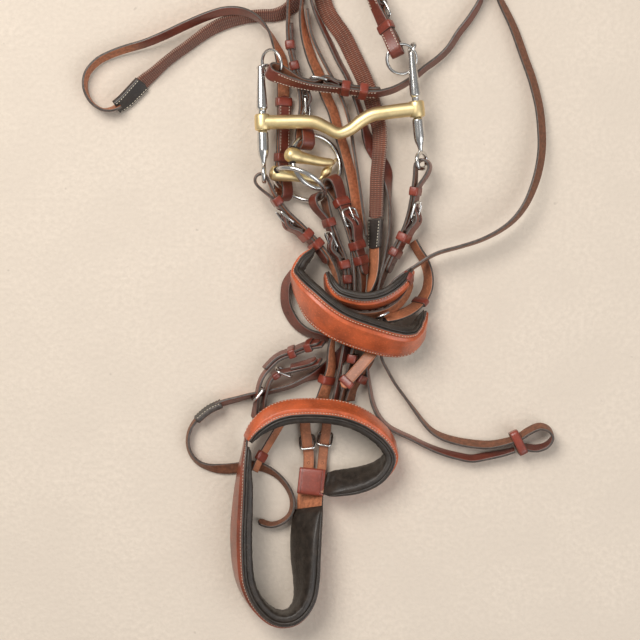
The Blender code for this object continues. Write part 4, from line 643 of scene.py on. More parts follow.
class Turned:
    """A strap that runs to its bit, turns round it and comes back over itself, as one path.

    The turn is half a circle: 1 - cos a radii outwards and sin a along.
    """

    def __init__(self, name):
        route, side, turn, closed_at, end, width, bar, keepers = TURNED[name]
        self.side, self.width, self.bar, self.end = side, width, bar, end
        self.spine = leaning(route, width, STRAP_THICK)
        knots = [(0.0, turn), (closed_at, LAYER_GAP)]
        if bar:
            behind = bar + CHAPE_LENGTH
            knots += [(bar - FRAME_REACH + BILLET_RISE_START, LAYER_GAP), (bar, BILLET_OVER_BAR),
                      (behind, BILLET_OVER_CHAPE), (behind + BILLET_SETTLE, LAYER_GAP)]
        self.knots = np.array(knots + [(end, LAYER_GAP)])
        self.keepers = [self.near(*k) if isinstance(k, tuple) else k for k in keepers]
        self.back = np.arange(0, end, TURNED_STEP)
        centre, along, across, out = self.place(0.0)
        angle = np.linspace(0, math.pi, 14)[1:-1, None]
        bend = centre + out * turn / 2 * (1 - np.cos(angle)) + along * turn / 2 * np.sin(angle)
        there, _, across_there, _ = self.frame(np.arange(self.spine.length, 0, -TURNED_STEP))
        back, _, across_back, out_back = self.frame(self.back)
        over = back + out_back * self.lift(self.back)[:, None]
        self.path = Path(np.vstack([there, bend, over]),
                         np.vstack([across_there, np.tile(across, (len(bend), 1)), across_back]))

    def frame(self, distance):
        """Centre, along, across and returning side at distances back from the turn."""
        centre, along, across, _ = self.spine.at(self.spine.length - np.asarray(distance, dtype=float))
        return centre, along, across, self.side * np.cross(along, across)

    def place(self, distance):
        """The same four at one distance."""
        return [rows[0] for rows in self.frame([distance])]

    def near(self, x, y):
        """Distance back from the turn of the point nearest in plan."""
        return float(self.spine.length - self.spine.nearest(x, y))

    def lift(self, distance):
        """Distance between the layers: a smooth step from knot to knot."""
        at, high = self.knots[:, 0], self.knots[:, 1]
        i = np.clip(np.searchsorted(at, distance, side="left"), 1, len(at) - 1)
        t = np.clip((distance - at[i - 1]) / (at[i] - at[i - 1]), 0, 1)
        return high[i - 1] + (high[i] - high[i - 1]) * smooth(t)

    def back_run(self, distance):
        """Length along the whole path of a place on the returning layer."""
        return float(np.interp(distance, self.back, self.path.run[-len(self.back):]))

    def beside(self, u, w, n):
        """Places u in front of the bar, w across and n above the strap, following it."""
        centre, _, across, out = self.frame(self.bar - np.asarray(u, dtype=float))
        return centre + across * np.reshape(w, (-1, 1)) + out * np.reshape(n, (-1, 1))


STRAPS = {name: Turned(name) for name in TURNED}

# Surfaces


def in_metres(points):
    """Points of the photo's frame in the CAD model's frame."""
    return (points - (0.0, MIDDLE_Y, 0.0)) * MM


def slot_faces(r0, r1, count):
    """The four walls of a slot, rows r0 to r1: each joins an edge in the face to the same in the back."""
    near, far = np.arange(r0, r1) * count, np.arange(r0 + 1, r1 + 1) * count
    (f0, _, f2), (b0, _, b2) = SLOT_FACE, SLOT_BACK
    left = np.stack([far + f0, near + f0, near + b0, far + b0], 1)
    right = np.stack([near + f2, far + f2, far + b2, near + b2], 1)
    starts = np.stack([SLOT_FACE[:-1], SLOT_FACE[1:], SLOT_BACK[1:], SLOT_BACK[:-1]], 1) + r0 * count
    stops = np.stack([SLOT_FACE[1:], SLOT_FACE[:-1], SLOT_BACK[:-1], SLOT_BACK[1:]], 1) + r1 * count
    return np.vstack([left, right, starts, stops])


def grid_mesh(name, grid, closed_along=False, values=None, slots=()):
    """A mesh from rows of ring points: row r joins row r + 1, a ring is closed, ends fan to their middle."""
    rows, count, _ = grid.shape
    verts = grid.reshape(-1, 3)
    r = np.arange(rows if closed_along else rows - 1)[:, None]
    i = np.arange(count)[None, :]
    j = (i + 1) % count
    after = (r + 1) % rows
    quads = np.stack([r * count + i, r * count + j, after * count + j, after * count + i], axis=-1)
    kept = np.ones(quads.shape[:2], dtype=bool)
    for r0, r1 in slots:
        kept[r0:r1, [*SLOT_FACE[:-1], *SLOT_BACK[1:]]] = False
    faces = quads[kept].tolist()
    for r0, r1 in slots:
        faces += slot_faces(r0, r1, count).tolist()
    middles = 0
    if not closed_along:
        first, last = len(verts), len(verts) + 1
        ring = np.arange(count)
        over = (ring + 1) % count
        base = (rows - 1) * count
        faces += np.stack([np.full(count, first), over, ring], 1).tolist()
        faces += np.stack([np.full(count, last), base + ring, base + over], 1).tolist()
        verts = np.vstack([verts, grid[0].mean(0), grid[-1].mean(0)])
        middles = 2
    placed = in_metres(verts)
    placed[:, 2] = np.maximum(placed[:, 2], FLOOR_GAP * MM)
    mesh = bpy.data.meshes.new(name)
    mesh.from_pydata(placed.tolist(), [], faces)
    for title, held in (values or {}).items():
        flat = np.concatenate([np.asarray(held, dtype=float).reshape(-1), np.zeros(middles)])
        mesh.attributes.new(title, "FLOAT", "POINT").data.foreach_set("value", flat)
    mesh.shade_smooth()
    return outward(mesh)


def outward(mesh):
    """Turn the faces of a closed mesh out if its signed volume, a sum of corner products, is below zero."""
    points = np.empty(len(mesh.vertices) * 3)
    mesh.vertices.foreach_get("co", points)
    mesh.calc_loop_triangles()
    corners = np.empty(len(mesh.loop_triangles) * 3, dtype=np.int32)
    mesh.loop_triangles.foreach_get("vertices", corners)
    a, b, c = points.reshape(-1, 3)[corners.reshape(-1, 3)].transpose(1, 0, 2)
    if np.sum(a * np.cross(b, c)) < 0:
        mesh.flip_normals()
    return mesh


def strap_profile(width, thick):
    """Ring of (across, out) points: faces that rise by 1 - v v over v from -1 to 1, and half-round edges."""
    flat = width / 2 - STRAP_ROUNDING
    top = np.column_stack([FACE_COLUMNS * flat, thick / 2 + STRAP_DOME * (1 - FACE_COLUMNS**2)])
    edge = np.column_stack([flat + STRAP_ROUNDING * np.cos(EDGE_ANGLES), thick / 2 * np.sin(EDGE_ANGLES)])
    return np.vstack([top, edge, -top, -edge])


def strap_mesh(name, path, width, thick, tip=0.0, flip=1.0, slots=(), swap=None):
    """A strap: its profile carried along a path, with slots cut through.

    Over its last stretch, the tip, it narrows by the square root of 1 - (1 - s) squared. Swap is a share
    along the path from 0, grain side up, to 1, flesh side up.
    """
    ring = strap_profile(width, thick)
    scale = np.ones(len(path.run))
    if tip:
        left = np.clip((path.length - path.run) / tip, 0, 1)
        scale = np.sqrt(np.clip(1 - (1 - left) ** 2, 0.02, 1))
    across = ring[None, :, 0] * scale[:, None]
    shape = across.shape
    grid = path.section(across, np.broadcast_to(ring[:, 1], shape))
    values = {
        "face": np.broadcast_to(np.clip(ring[:, 1] / (thick / 2), -1, 1) * flip, shape),
        "side": np.broadcast_to(ring[:, 0] / (width / 2), shape),
        "run": np.broadcast_to(path.run[:, None] * MM, shape),
    }
    if swap is not None:
        values["swap"] = np.broadcast_to(swap[:, None], shape)
    cuts = [sorted(np.searchsorted(path.run, slot).tolist()) for slot in slots]
    return grid_mesh(name, grid, values=values, slots=cuts)


def tube_mesh(name, centre, radius, up, sides=16, closed=True):
    """A round wire: a circle square to the line, by radius times (cos a, sin a)."""
    centre = np.asarray(centre, dtype=float)
    if closed:
        along = unit(np.roll(centre, -1, 0) - np.roll(centre, 1, 0))
    else:
        along = unit(np.gradient(centre, axis=0))
    x = unit(np.cross(np.broadcast_to(np.asarray(up, dtype=float), centre.shape), along))
    y = np.cross(along, x)
    angle = turns(sides)[None, :, None]
    radius = np.broadcast_to(np.asarray(radius, dtype=float), (len(centre),))[:, None, None]
    grid = centre[:, None] + radius * (x[:, None] * np.cos(angle) + y[:, None] * np.sin(angle))
    return grid_mesh(name, grid, closed_along=closed)


def closed_curve(points, count):
    """A smooth closed line through corner points, by the same spline, wrapped round."""
    points = np.asarray(points, dtype=float)
    dense = spline(np.vstack([points[-2:], points, points[:2]]), 0.25)
    run = run_along(dense)
    gaps = np.linalg.norm(dense - points[0], axis=1)
    half = len(dense) // 2
    start, stop = run[np.argmin(gaps[:half])], run[half + np.argmin(gaps[half:])]
    at = np.linspace(start, stop, count, endpoint=False)
    return np.column_stack([np.interp(at, run, dense[:, c]) for c in range(3)])


def stitches_mesh(name, path, starts, across, out, length, radius=STITCH_R):
    """Short sunk threads, each a capsule laid along the path: rings that swell and rise in its middle."""
    share, girth, rise = STITCH_RINGS.T
    rings, sides, number = len(share), STITCH_SIDES, len(starts)
    across = np.repeat(np.broadcast_to(across, (number,)), rings)
    out = np.repeat(np.broadcast_to(out, (number,)), rings)
    runs = (np.asarray(starts)[:, None] + share * length).reshape(-1)
    centre, _, w, n = path.at(np.clip(runs, 0, path.length))
    lift = out + np.sign(out) * np.tile(rise * radius, number)
    centre = centre + w * across[:, None] + n * lift[:, None]
    angle = turns(sides)[None, :, None]
    spoke = w[:, None] * np.cos(angle) + n[:, None] * np.sin(angle)
    grid = centre[:, None] + spoke * (np.tile(girth, number) * radius)[:, None, None]
    base = (np.arange(number) * rings * sides)[:, None, None]
    r = np.arange(rings - 1)[None, :, None] * sides
    i = np.arange(sides)[None, None, :]
    j = (i + 1) % sides
    quads = np.stack([base + r + i, base + r + j, base + r + sides + j, base + r + sides + i], axis=-1)
    ring = np.arange(sides)
    caps = np.concatenate([base[:, :, 0] + ring[::-1], base[:, :, 0] + (rings - 1) * sides + ring])
    mesh = bpy.data.meshes.new(name)
    faces = quads.reshape(-1, 4).tolist() + caps.tolist()
    mesh.from_pydata(in_metres(grid.reshape(-1, 3)).tolist(), [], faces)
    mesh.shade_smooth()
    return outward(mesh)


def joined(name, meshes):
    """Several meshes as one, vertex lists laid end to end with their attributes."""
    verts, faces, base = [], [], 0
    titles = sorted({a.name for m in meshes for a in m.attributes if a.data_type == "FLOAT"})
    values = {title: [] for title in titles}
    for mesh in meshes:
        count = len(mesh.vertices)
        co = np.empty(count * 3)
        mesh.vertices.foreach_get("co", co)
        verts.append(co.reshape(-1, 3))
        corners = np.empty(len(mesh.loops), dtype=np.int32)
        mesh.loops.foreach_get("vertex_index", corners)
        totals = np.empty(len(mesh.polygons), dtype=np.int32)
        mesh.polygons.foreach_get("loop_total", totals)
        faces += [part.tolist() for part in np.split(corners + base, np.cumsum(totals)[:-1])]
        for title in titles:
            held = np.zeros(count)
            if title in mesh.attributes:
                mesh.attributes[title].data.foreach_get("value", held)
            values[title].append(held)
        base += count
        bpy.data.meshes.remove(mesh)
    made = bpy.data.meshes.new(name)
    made.from_pydata(np.vstack(verts).tolist(), [], faces)
    for title in titles:
        made.attributes.new(title, "FLOAT", "POINT").data.foreach_set("value", np.concatenate(values[title]))
    made.shade_smooth()
    return made


def keeper_mesh(name, place, half, low, high, length):
    """A leather loop: a flat band, its face risen by 1 - v v, carried round a box with rounded corners.

    The box is a superellipse, its half width and half height times cos a and sin a to a power.
    """
    centre, along, across, out = place
    angle = turns(40)
    middle, tall = (low + high) / 2, (high - low) / 2
    w = half * squared(np.cos(angle), KEEPER_SQUARE)
    n = tall * squared(np.sin(angle), KEEPER_SQUARE)
    box = np.column_stack([w, n])
    turn = unit(np.roll(box, -1, 0) - np.roll(box, 1, 0))
    band = np.linspace(-1, 1, 7)
    deep = KEEPER_THICK / 2
    outer = np.column_stack([band * (length / 2 - KEEPER_EDGE), deep + KEEPER_DOME * (1 - band**2)])
    edge = np.array([(length / 2, deep * 0.5), (length / 2 + 0.1, 0), (length / 2, -deep * 0.5)])
    inner = np.column_stack([band[::-1] * (length / 2 - KEEPER_EDGE), np.full(7, -deep)])
    u, d = np.vstack([outer, edge, inner, edge[::-1] * (-1, 1)]).T
    w = w[:, None] + turn[:, None, 1] * d
    n = middle + n[:, None] - turn[:, None, 0] * d
    u = np.broadcast_to(u, w.shape)
    grid = centre + along * u[..., None] + across * w[..., None] + out * n[..., None]
    values = {"face": np.broadcast_to(np.clip(d / deep, -1, 1), w.shape), "side": u / (length / 2)}
    return grid_mesh(name, grid, closed_along=True, values=values)


def rod_mesh(name, origin, axis, rows):
    """A turned rod: a radius over the length along an axis, by straight blending of its rows, then eased."""
    rows = np.array(rows, dtype=float)
    s = np.linspace(rows[0, 0], rows[-1, 0], 150)
    r = np.interp(s, rows[:, 0], rows[:, 1])
    for _ in range(2):
        r[1:-1] = np.convolve(r, (0.25, 0.5, 0.25), "valid")
    r[[0, -1]] *= 0.6
    axis = unit(np.array(axis, dtype=float))
    return tube_mesh(name, np.array(origin) + axis * s[:, None], r, (1.0, 0.02, 0.1), 40, False)


def collar_mesh(name, centre, axis, profile):
    """A closed profile of (length, radius) points carried round an axis."""
    axis = unit(np.array(axis, dtype=float))
    x = unit(np.cross(axis, (0.31, 0.2, 0.93)))
    angle = turns(48)[:, None, None]
    spoke = x * np.cos(angle) + np.cross(axis, x) * np.sin(angle)
    profile = np.array(profile, dtype=float)
    grid = np.array(centre) + axis * profile[None, :, :1] + spoke * profile[None, :, 1:]
    return grid_mesh(name, grid, closed_along=True)


def circle(centre, u, v, radius, angle):
    """Points on a circle: centre plus radius times (u cos a + v sin a)."""
    angle = np.reshape(angle, (-1, 1))
    return np.array(centre) + radius * (np.array(u) * np.cos(angle) + np.array(v) * np.sin(angle))


def ring_axes(shape):
    """Centre and two square unit directions of a ring."""
    centre, u, v = (np.array(part, dtype=float) for part in shape)
    u = unit(u)
    return centre, u, unit(v - u * (u @ v))


def ring_mesh(name, shape, radius, wire):
    """A round wire ring: a circle with a round section."""
    centre, u, v = ring_axes(shape)
    return tube_mesh(name, circle(centre, u, v, radius, turns(96)), wire, np.cross(u, v), WIRE_SIDES)


# Finishes


class Finish:
    """A Principled material with short ways to wire it, all on Object coordinates or stored values."""

    def __init__(self, title, roughness=0.5, metallic=0.0):
        self.material = bpy.data.materials.new(title)
        self.material.use_nodes = True
        self.tree = self.material.node_tree
        self.shader = self.tree.nodes["Principled BSDF"]
        self.set(self.shader, {"Roughness": roughness, "Metallic": metallic})
        self.place = self.node("ShaderNodeTexCoord").outputs["Object"]

    def set(self, node, values):
        """Set sockets of a node by name, or link them."""
        for title, value in values.items():
            self.feed(node.inputs[title], value)

    def node(self, kind, **settings):
        """A node with its settings."""
        made = self.tree.nodes.new(kind)
        for name, value in settings.items():
            setattr(made, name, value)
        return made

    def feed(self, socket, value):
        """Link an output to a socket, or set the socket."""
        if isinstance(value, bpy.types.NodeSocket):
            self.tree.links.new(value, socket)
        else:
            socket.default_value = value

    def noise(self, scale, detail=3.0, stretch=(1, 1, 1)):
        """Soft noise at so many features to the metre."""
        spread = self.node("ShaderNodeMapping")
        self.set(spread, {"Vector": self.place, "Scale": stretch})
        made = self.node("ShaderNodeTexNoise")
        self.set(made, {"Vector": spread.outputs["Vector"], "Scale": scale, "Detail": detail})
        return made.outputs["Fac"]

    def cells(self, scale):
        """Distance to the middle of small cells."""
        made = self.node("ShaderNodeTexVoronoi")
        self.set(made, {"Vector": self.place, "Scale": scale})
        return made.outputs["Distance"]

    def held(self, title):
        """A value stored on the points."""
        return self.node("ShaderNodeAttribute", attribute_name=title).outputs["Fac"]

    def math(self, operation, a, b=0.0):
        """One sum."""
        made = self.node("ShaderNodeMath", operation=operation)
        self.feed(made.inputs[0], a)
        self.feed(made.inputs[1], b)
        return made.outputs[0]

    def plus(self, a, b):
        """Two values added."""
        return self.math("ADD", a, b)

    def minus(self, a, b):
        """The second value taken from the first."""
        return self.math("SUBTRACT", a, b)

    def times(self, a, b):
        """Two values multiplied."""
        return self.math("MULTIPLY", a, b)

    def size(self, a):
        """A value without its sign."""
        return self.math("ABSOLUTE", a)

    def step(self, value, low, high, to=1.0):
        """A smooth rise from 0 to a top value between two bounds."""
        made = self.node("ShaderNodeMapRange", interpolation_type="SMOOTHSTEP")
        self.set(made, {"Value": value, "From Min": low, "From Max": high, "To Max": to})
        return made.outputs["Result"]

    def mix(self, share, a, b):
        """Two colours blended: on this node the colours are inputs 6 and 7 and output 2."""
        made = self.node("ShaderNodeMix", data_type="RGBA")
        for socket, value in ((0, share), (6, a), (7, b)):
            self.feed(made.inputs[socket], value)
        return made.outputs[2]

    def mottled(self, value, low, high, colour, one, other):
        """A colour that goes smoothly from one shade to another as a value passes from low to high."""
        return self.mix(self.step(value, low, high), shade(colour, one), shade(colour, other))

    def colour(self, value):
        """The base colour."""
        self.feed(self.shader.inputs["Base Color"], value)

    def rough(self, value):
        """The roughness."""
        self.feed(self.shader.inputs["Roughness"], value)

    def bump(self, height, depth):
        """A relief of a depth in metres."""
        made = self.node("ShaderNodeBump")
        self.set(made, {"Strength": 1.0, "Distance": depth, "Height": height})
        self.feed(self.shader.inputs["Normal"], made.outputs["Normal"])
        return self.material


def shade(colour, gain):
    """A colour made darker or lighter."""
    return (*(min(1.0, c * gain) for c in colour[:3]), 1.0)


def leather(title, grain, back, edge, shine=0.38, edge_wear_and_margin_shade=1.75):
    """Bridle leather: mottled grain with pores and rubbed edges, a suede back and painted edges.

    Stored on the points: face is 1 on the grain side and -1 on the back, side is -1 to 1 across, and swap is
    1 where the strap has turned over. A tooled line runs along each side, sunk and darkened in colour as
    painted shade in its groove. The rubbed edges are lighter on straps; on bands a gain below 1 darkens the
    margin instead, as painted shade of the recessed margin. The edge paint is lighter where it meets the
    faces: a painted highlight.
    """
    f = Finish(title, shine)
    face, side = f.held("face"), f.size(f.held("side"))
    fine, pores = f.noise(FINE_GRAIN, 4), f.cells(PORES)
    top = f.mottled(f.noise(MOTTLE, 5), 0.32, 0.68, grain, 0.62, 1.12)
    top = f.mix(f.step(fine, 0.48, 0.74, 0.35), top, shade(grain, 1.7))
    # Near the sides: lighter from rubbing on straps; on bands a gain below 1 paints shade on the recessed
    # margin
    top = f.mix(f.step(side, 0.80, 1.0, 0.5), top, shade(grain, edge_wear_and_margin_shade))
    crease = f.minus(1.0, f.step(f.size(f.minus(side, 0.76)), 0.0, 0.05))
    # The tooled groove is darkened in colour as well as sunk: painted shade in the groove
    top = f.mix(f.times(crease, 0.55), top, shade(grain, 0.35))
    suede = f.mottled(f.noise(SUEDE, 5), 0.3, 0.7, back, 0.7, 1.2)
    under = f.size(f.minus(f.step(face, 0.05, -0.05), f.held("swap")))
    rim = f.size(face)
    edge_paint_and_highlight = f.mottled(f.noise(INK, 4), 0.35, 0.7, edge, 0.7, 1.25)
    # Edge paint lighter where the round edge meets the faces: a painted highlight
    edge_paint_and_highlight = f.mix(f.times(f.step(rim, 0.45, 0.85), 0.6), edge_paint_and_highlight, shade(edge, 2.6))
    f.colour(f.mix(f.minus(1.0, f.step(rim, 0.72, 0.93)), f.mix(under, top, suede), edge_paint_and_highlight))
    f.rough(f.math("MAXIMUM", f.plus(shine - 0.07, f.times(fine, 0.16)), f.times(under, 0.8)))
    f.set(f.shader, {"Specular IOR Level": 0.45, "Coat Weight": 0.3, "Coat Roughness": 0.2})
    relief = f.plus(f.times(pores, 0.5), f.times(fine, 0.6))
    return f.bump(f.minus(relief, f.times(crease, 1.2)), 0.00018)


def soft_lining(title, colour):
    """Soft padding leather: near black, with fine creases and pores."""
    f = Finish(title, 0.52)
    crease, pores = f.noise(CREASES, 6), f.cells(LINING_PORES)
    # Lighter where the crease relief rises and darker in its hollows: painted highlight on the folds and
    # painted shade in the creases
    f.colour(f.mottled(crease, 0.35, 0.72, colour, 0.75, 1.45))
    f.rough(f.plus(0.34, f.times(crease, 0.25)))
    f.set(f.shader, {"Coat Weight": 0.12, "Coat Roughness": 0.3})
    return f.bump(f.plus(f.times(crease, 1.6), f.times(pores, 0.4)), 0.0004)


def webbing(title, colour, thread):
    """Ribbed rein web: ribs across, a sine of the run, and four columns of paler dots, a cosine across it."""
    f = Finish(title, 0.85)
    ribs = f.math("SINE", f.times(f.held("run"), 2 * math.pi / RIB_PITCH))
    columns = f.math("COSINE", f.times(f.held("side"), 4 * math.pi))
    dots = f.times(f.step(ribs, 0.1, 0.8), f.step(columns, 0.75, 1.0))
    fibre = f.noise(FIBRES, 5)
    base = f.mottled(f.noise(WEB_CLOUDS, 4), 0.3, 0.7, colour, 0.75, 1.2)
    base = f.mix(f.step(fibre, 0.4, 0.75, 0.5), base, shade(colour, 1.8))
    # Darker in the troughs between the ribs: painted shade in the grooves
    base = f.mix(f.step(ribs, 0.1, -0.9, 0.75), base, shade(colour, 0.3))
    f.colour(f.mix(f.times(dots, 0.45), base, shade(thread, 0.7)))
    f.set(f.shader, {"Sheen Weight": 0.3})
    return f.bump(f.plus(ribs, f.times(fibre, 0.8)), 0.0004)


def metal(title, colour, roughness):
    """Polished metal with faint wiping marks and duller patches."""
    f = Finish(title, roughness, 1.0)
    patches, wipes = f.noise(PATCHES, 4), f.noise(WIPES, 3, (1.0, 0.08, 0.4))
    f.colour(f.mottled(patches, 0.4, 0.75, colour, 1.0, 0.78))
    f.rough(f.plus(roughness - 0.04, f.times(patches, 0.14)))
    return f.bump(f.plus(wipes, f.times(patches, 0.5)), 0.00004)


def thread_finish(title, colour):
    """Waxed linen thread."""
    f = Finish(title, 0.7)
    twist = f.noise(TWIST, 2)
    f.colour(f.mottled(twist, 0.35, 0.65, colour, 0.72, 1.05))
    return f.bump(twist, 0.0001)


def hole_shade_finish(title):
    """The dark inside of a punched hole."""
    f = Finish(title, 0.9)
    # Near-black mottle: painted shade standing in for the inside of a hole and of a bore
    f.colour(f.mix(f.noise(HOLE_SHADE_MOTTLE, 2), (0.012, 0.008, 0.006, 1), (0.03, 0.02, 0.015, 1)))
    return f.material


def concrete(title, colour):
    """A pale sealed floor: wide clouds, small flecks and a faint unevenness."""
    f = Finish(title, 0.6)
    cloud, grit, fleck = f.noise(FLOOR_CLOUDS, 5), f.noise(GRIT, 8), f.noise(FLECKS, 2)
    base = f.mottled(cloud, 0.3, 0.7, colour, 0.95, 1.03)
    base = f.mix(f.step(grit, 0.3, 0.75), shade(colour, 0.93), base)
    f.colour(f.mix(f.step(fleck, 0.74, 0.80, 0.5), base, shade(colour, 0.6)))
    return f.bump(f.plus(cloud, f.times(grit, 0.5)), 0.0012)


def finish(kind):
    """A named finish from the panel's colours, made once."""
    title = f"bridle_{kind}"
    if title in bpy.data.materials:
        return bpy.data.materials[title]
    looks = bpy.context.scene.bridle_looks
    grain, back, edge = looks.strap_colour, looks.flesh_colour, looks.edge_colour
    dark_edge = shade(edge, 0.7)
    makers = {
        "strap": lambda: leather(title, grain, shade(back, 0.42), edge),
        "turned": lambda: leather(title, grain, back, edge),
        "keeper": lambda: leather(title, looks.keeper_colour, back, shade(edge, 0.6), 0.3),
        # Panel and crown take a margin gain below 1: painted shade of their recessed margins
        "panel": lambda: leather(title, looks.panel_colour, back, dark_edge, 0.3, 0.75),
        "crown": lambda: leather(title, looks.crown_colour, back, dark_edge, 0.3, 0.9),
        "flesh": lambda: leather(title, back, shade(back, 0.8), edge, 0.62),
        "sleeve": lambda: leather(title, looks.sleeve_colour, shade(back, 0.5), dark_edge, 0.55),
        "lining": lambda: soft_lining(title, looks.lining_colour),
        "web": lambda: webbing(title, looks.web_colour, looks.thread_colour),
        "steel": lambda: metal(title, looks.steel_colour, 0.2),
        "brass": lambda: metal(title, looks.brass_colour, 0.43),
        "thread": lambda: thread_finish(title, looks.thread_colour),
        "hole": lambda: hole_shade_finish(title),
        "floor": lambda: concrete(title, looks.floor_colour),
    }
    return makers[kind]()


# Pieces


def put(name, mesh, kind, body="bridle", nodes=()):
    """One finished piece that rides on a body, has its finish's slot and stands for CAD nodes."""
    mesh.name = name
    mesh.materials.append(finish(kind))
    made = bpy.data.objects.new(name, mesh)
    bpy.context.scene.collection.objects.link(made)
    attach(made, body)
    if nodes:
        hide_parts(*nodes)
    return made


def make_turned_straps():
    """Each strap as one skin, with a slot in its billet where the tongue comes through."""
    for name, strap in STRAPS.items():
        path = strap.path
        slots, swap = [], None
        if strap.bar:
            slots.append((strap.back_run(strap.bar - SLOT_FRONT), strap.back_run(strap.bar + SLOT_BEHIND)))
        if name in TWISTED:
            low, high = (strap.spine.nearest(*place) for place in TWISTED[name])
            swap = smooth(np.clip(np.minimum(path.run - low, high - path.run) / TWIST_BLEND + 0.5, 0, 1))
        mesh = strap_mesh(name, path, strap.width, STRAP_THICK, ROUND_TIP, -strap.side, slots, swap)
        put(name + "_skin", mesh, "turned" if name in TWISTED else "strap", nodes=(name,))


def keeper_at(strap, name, distance, slack):
    """One loop round both layers of a turned strap."""
    reach = slack + KEEPER_THICK / 2
    low, high = -STRAP_THICK / 2 - reach, strap.lift(distance) + STRAP_THICK / 2 + reach
    return keeper_mesh(name, strap.place(distance), strap.width / 2 + reach, low, high, KEEPER_LENGTH)


def make_keepers():
    """The sewn keepers of the turned straps, their two runners, and the loops on the other straps."""
    for name, strap in STRAPS.items():
        loops = [keeper_at(strap, name, distance, KEEPER_SLACK) for distance in strap.keepers]
        put(name + "_keepers", joined(name, loops), "keeper", nodes=(name,))
    for name, (owner, distance) in RUNNERS.items():
        put(name + "_loop", keeper_at(STRAPS[owner], name, distance, RUNNER_SLACK), "keeper", name, (name,))
    for name, (route, spot, width, thick, length, layers) in LONE_KEEPERS.items():
        path = leaning(route)
        deep = thick / 2 + LONE_SLACK
        size = (width / 2 + LONE_SLACK, -deep, deep + (layers - 1) * LAYER_GAP)
        put(name, keeper_mesh(name, path.place(path.nearest(*spot)), *size, length), "keeper")
    path = leaning(CHIN_PAD)
    place = path.place(path.length - CHIN_KEEPER_FROM_END)
    put("chin_pad_keeper", keeper_mesh("chin_pad_keeper", place, *CHIN_KEEPER_SIZE, KEEPER_LENGTH), "keeper")
    place = [np.array(part) for part in REIN_END_PLACE]
    put("rein_end_loop", keeper_mesh("rein_end_loop", place, *REIN_END_SIZE, KEEPER_LENGTH), "keeper",
        nodes=("rein_end_keeper",))


def chape_mesh(name, strap):
    """The fold that holds the bar, from the strap round the bar by half a circle and back to the strap.

    It is two strips, one at each side of the tongue.
    """
    angle = np.radians(np.linspace(90, -90, 9))
    fold = np.column_stack([CHAPE_R * np.cos(angle), BAR_LIFT + CHAPE_R * np.sin(angle)])
    flat = np.vstack([CHAPE_UPPER, fold, CHAPE_LOWER])
    wide = (strap.width - 1.0 - TONGUE_GAP) / 2
    across = strap.place(strap.bar)[2]
    strips = []
    for side in (-1, 1):
        middle = np.full(len(flat), side * (wide + TONGUE_GAP) / 2)
        line = spline(strap.beside(flat[:, 0], middle, flat[:, 1]), 0.7)
        path = Path(line, np.tile(across, (len(line), 1)))
        strips.append(strap_mesh(name, path, wide, CHAPE_STRIP, flip=-1.0))
    return joined(name, strips)


def frame_mesh(name, strap):
    """A buckle's wire: a closed line round the billet that rises straight from its bar to its front."""
    wide = strap.width / 2 + WIRE_SIDE_GAP + WIRE_R
    half = [(u, wide - inwards) for u, inwards in FRAME_CORNERS]
    u, w = np.array(half + [(u, -w) for u, w in reversed(half)]).T
    rise = (FRAME_FRONT_LIFT - BAR_LIFT) / FRAME_REACH
    line = closed_curve(strap.beside(u, w, BAR_LIFT + rise * u), CURVE_POINTS)
    return tube_mesh(name, line, WIRE_R, strap.place(strap.bar)[3])


def tongue_mesh(name, strap):
    """A buckle's tongue: three quarters of a circle round the bar, then a line over the billet."""
    angle = np.radians(np.linspace(0, -270, 14))
    eye = np.column_stack([TONGUE_EYE_R * np.cos(angle), BAR_LIFT + TONGUE_EYE_R * np.sin(angle)])
    rest = FRAME_FRONT_LIFT + WIRE_R + TONGUE_CLEAR + TONGUE_R
    u, n = np.vstack([eye, [(forwards, rest + over) for forwards, over in TONGUE_LINE]]).T
    eye_part = np.arange(len(u)) < len(eye)
    _, along, across, _ = strap.place(strap.bar)
    rows = strap.beside(np.where(eye_part, 0, u), np.zeros(len(u)), n)
    line = spline(rows + along * np.where(eye_part, u, 0)[:, None], 0.5)
    girth = np.interp(np.linspace(0, 1, len(line)), *TONGUE_GIRTH) * TONGUE_R
    return tube_mesh(name, line, girth, across, THIN_SIDES, False)


def slip_mesh(name, route, spot, width):
    """A plain wire frame, tilted along its strap: a superellipse, cos a and sin a to a power."""
    path = leaning(route)
    centre, along, across, out = path.place(path.nearest(*spot))
    angle = turns(CURVE_POINTS)[:, None]
    u = squared(np.cos(angle), SLIP_SQUARE)
    w = squared(np.sin(angle), SLIP_SQUARE) * (width / 2 + SLIP_SIDE_GAP + WIRE_R)
    line = centre + along * u * SLIP_HALF + across * w + out * u * SLIP_LIFT
    return tube_mesh(name, line, WIRE_R, out)


def make_buckles():
    """Folded chapes, wire frames and wrapped tongues of the turned straps, and the plain slip buckles."""
    for name, strap in STRAPS.items():
        if not strap.bar:
            continue
        tongue = name + "_tongue"
        put(name + "_chape", chape_mesh(name, strap), "strap", nodes=(name,))
        put(name + "_wire", frame_mesh(name, strap), "steel", nodes=(name + "_frame",))
        put(name + "_pin", tongue_mesh(name, strap), "steel", tongue, (tongue,))
    for name, (route, spot, width) in SLIP_BUCKLES.items():
        put(name + "_wire", slip_mesh(name, route, spot, width), "steel", nodes=(name,))


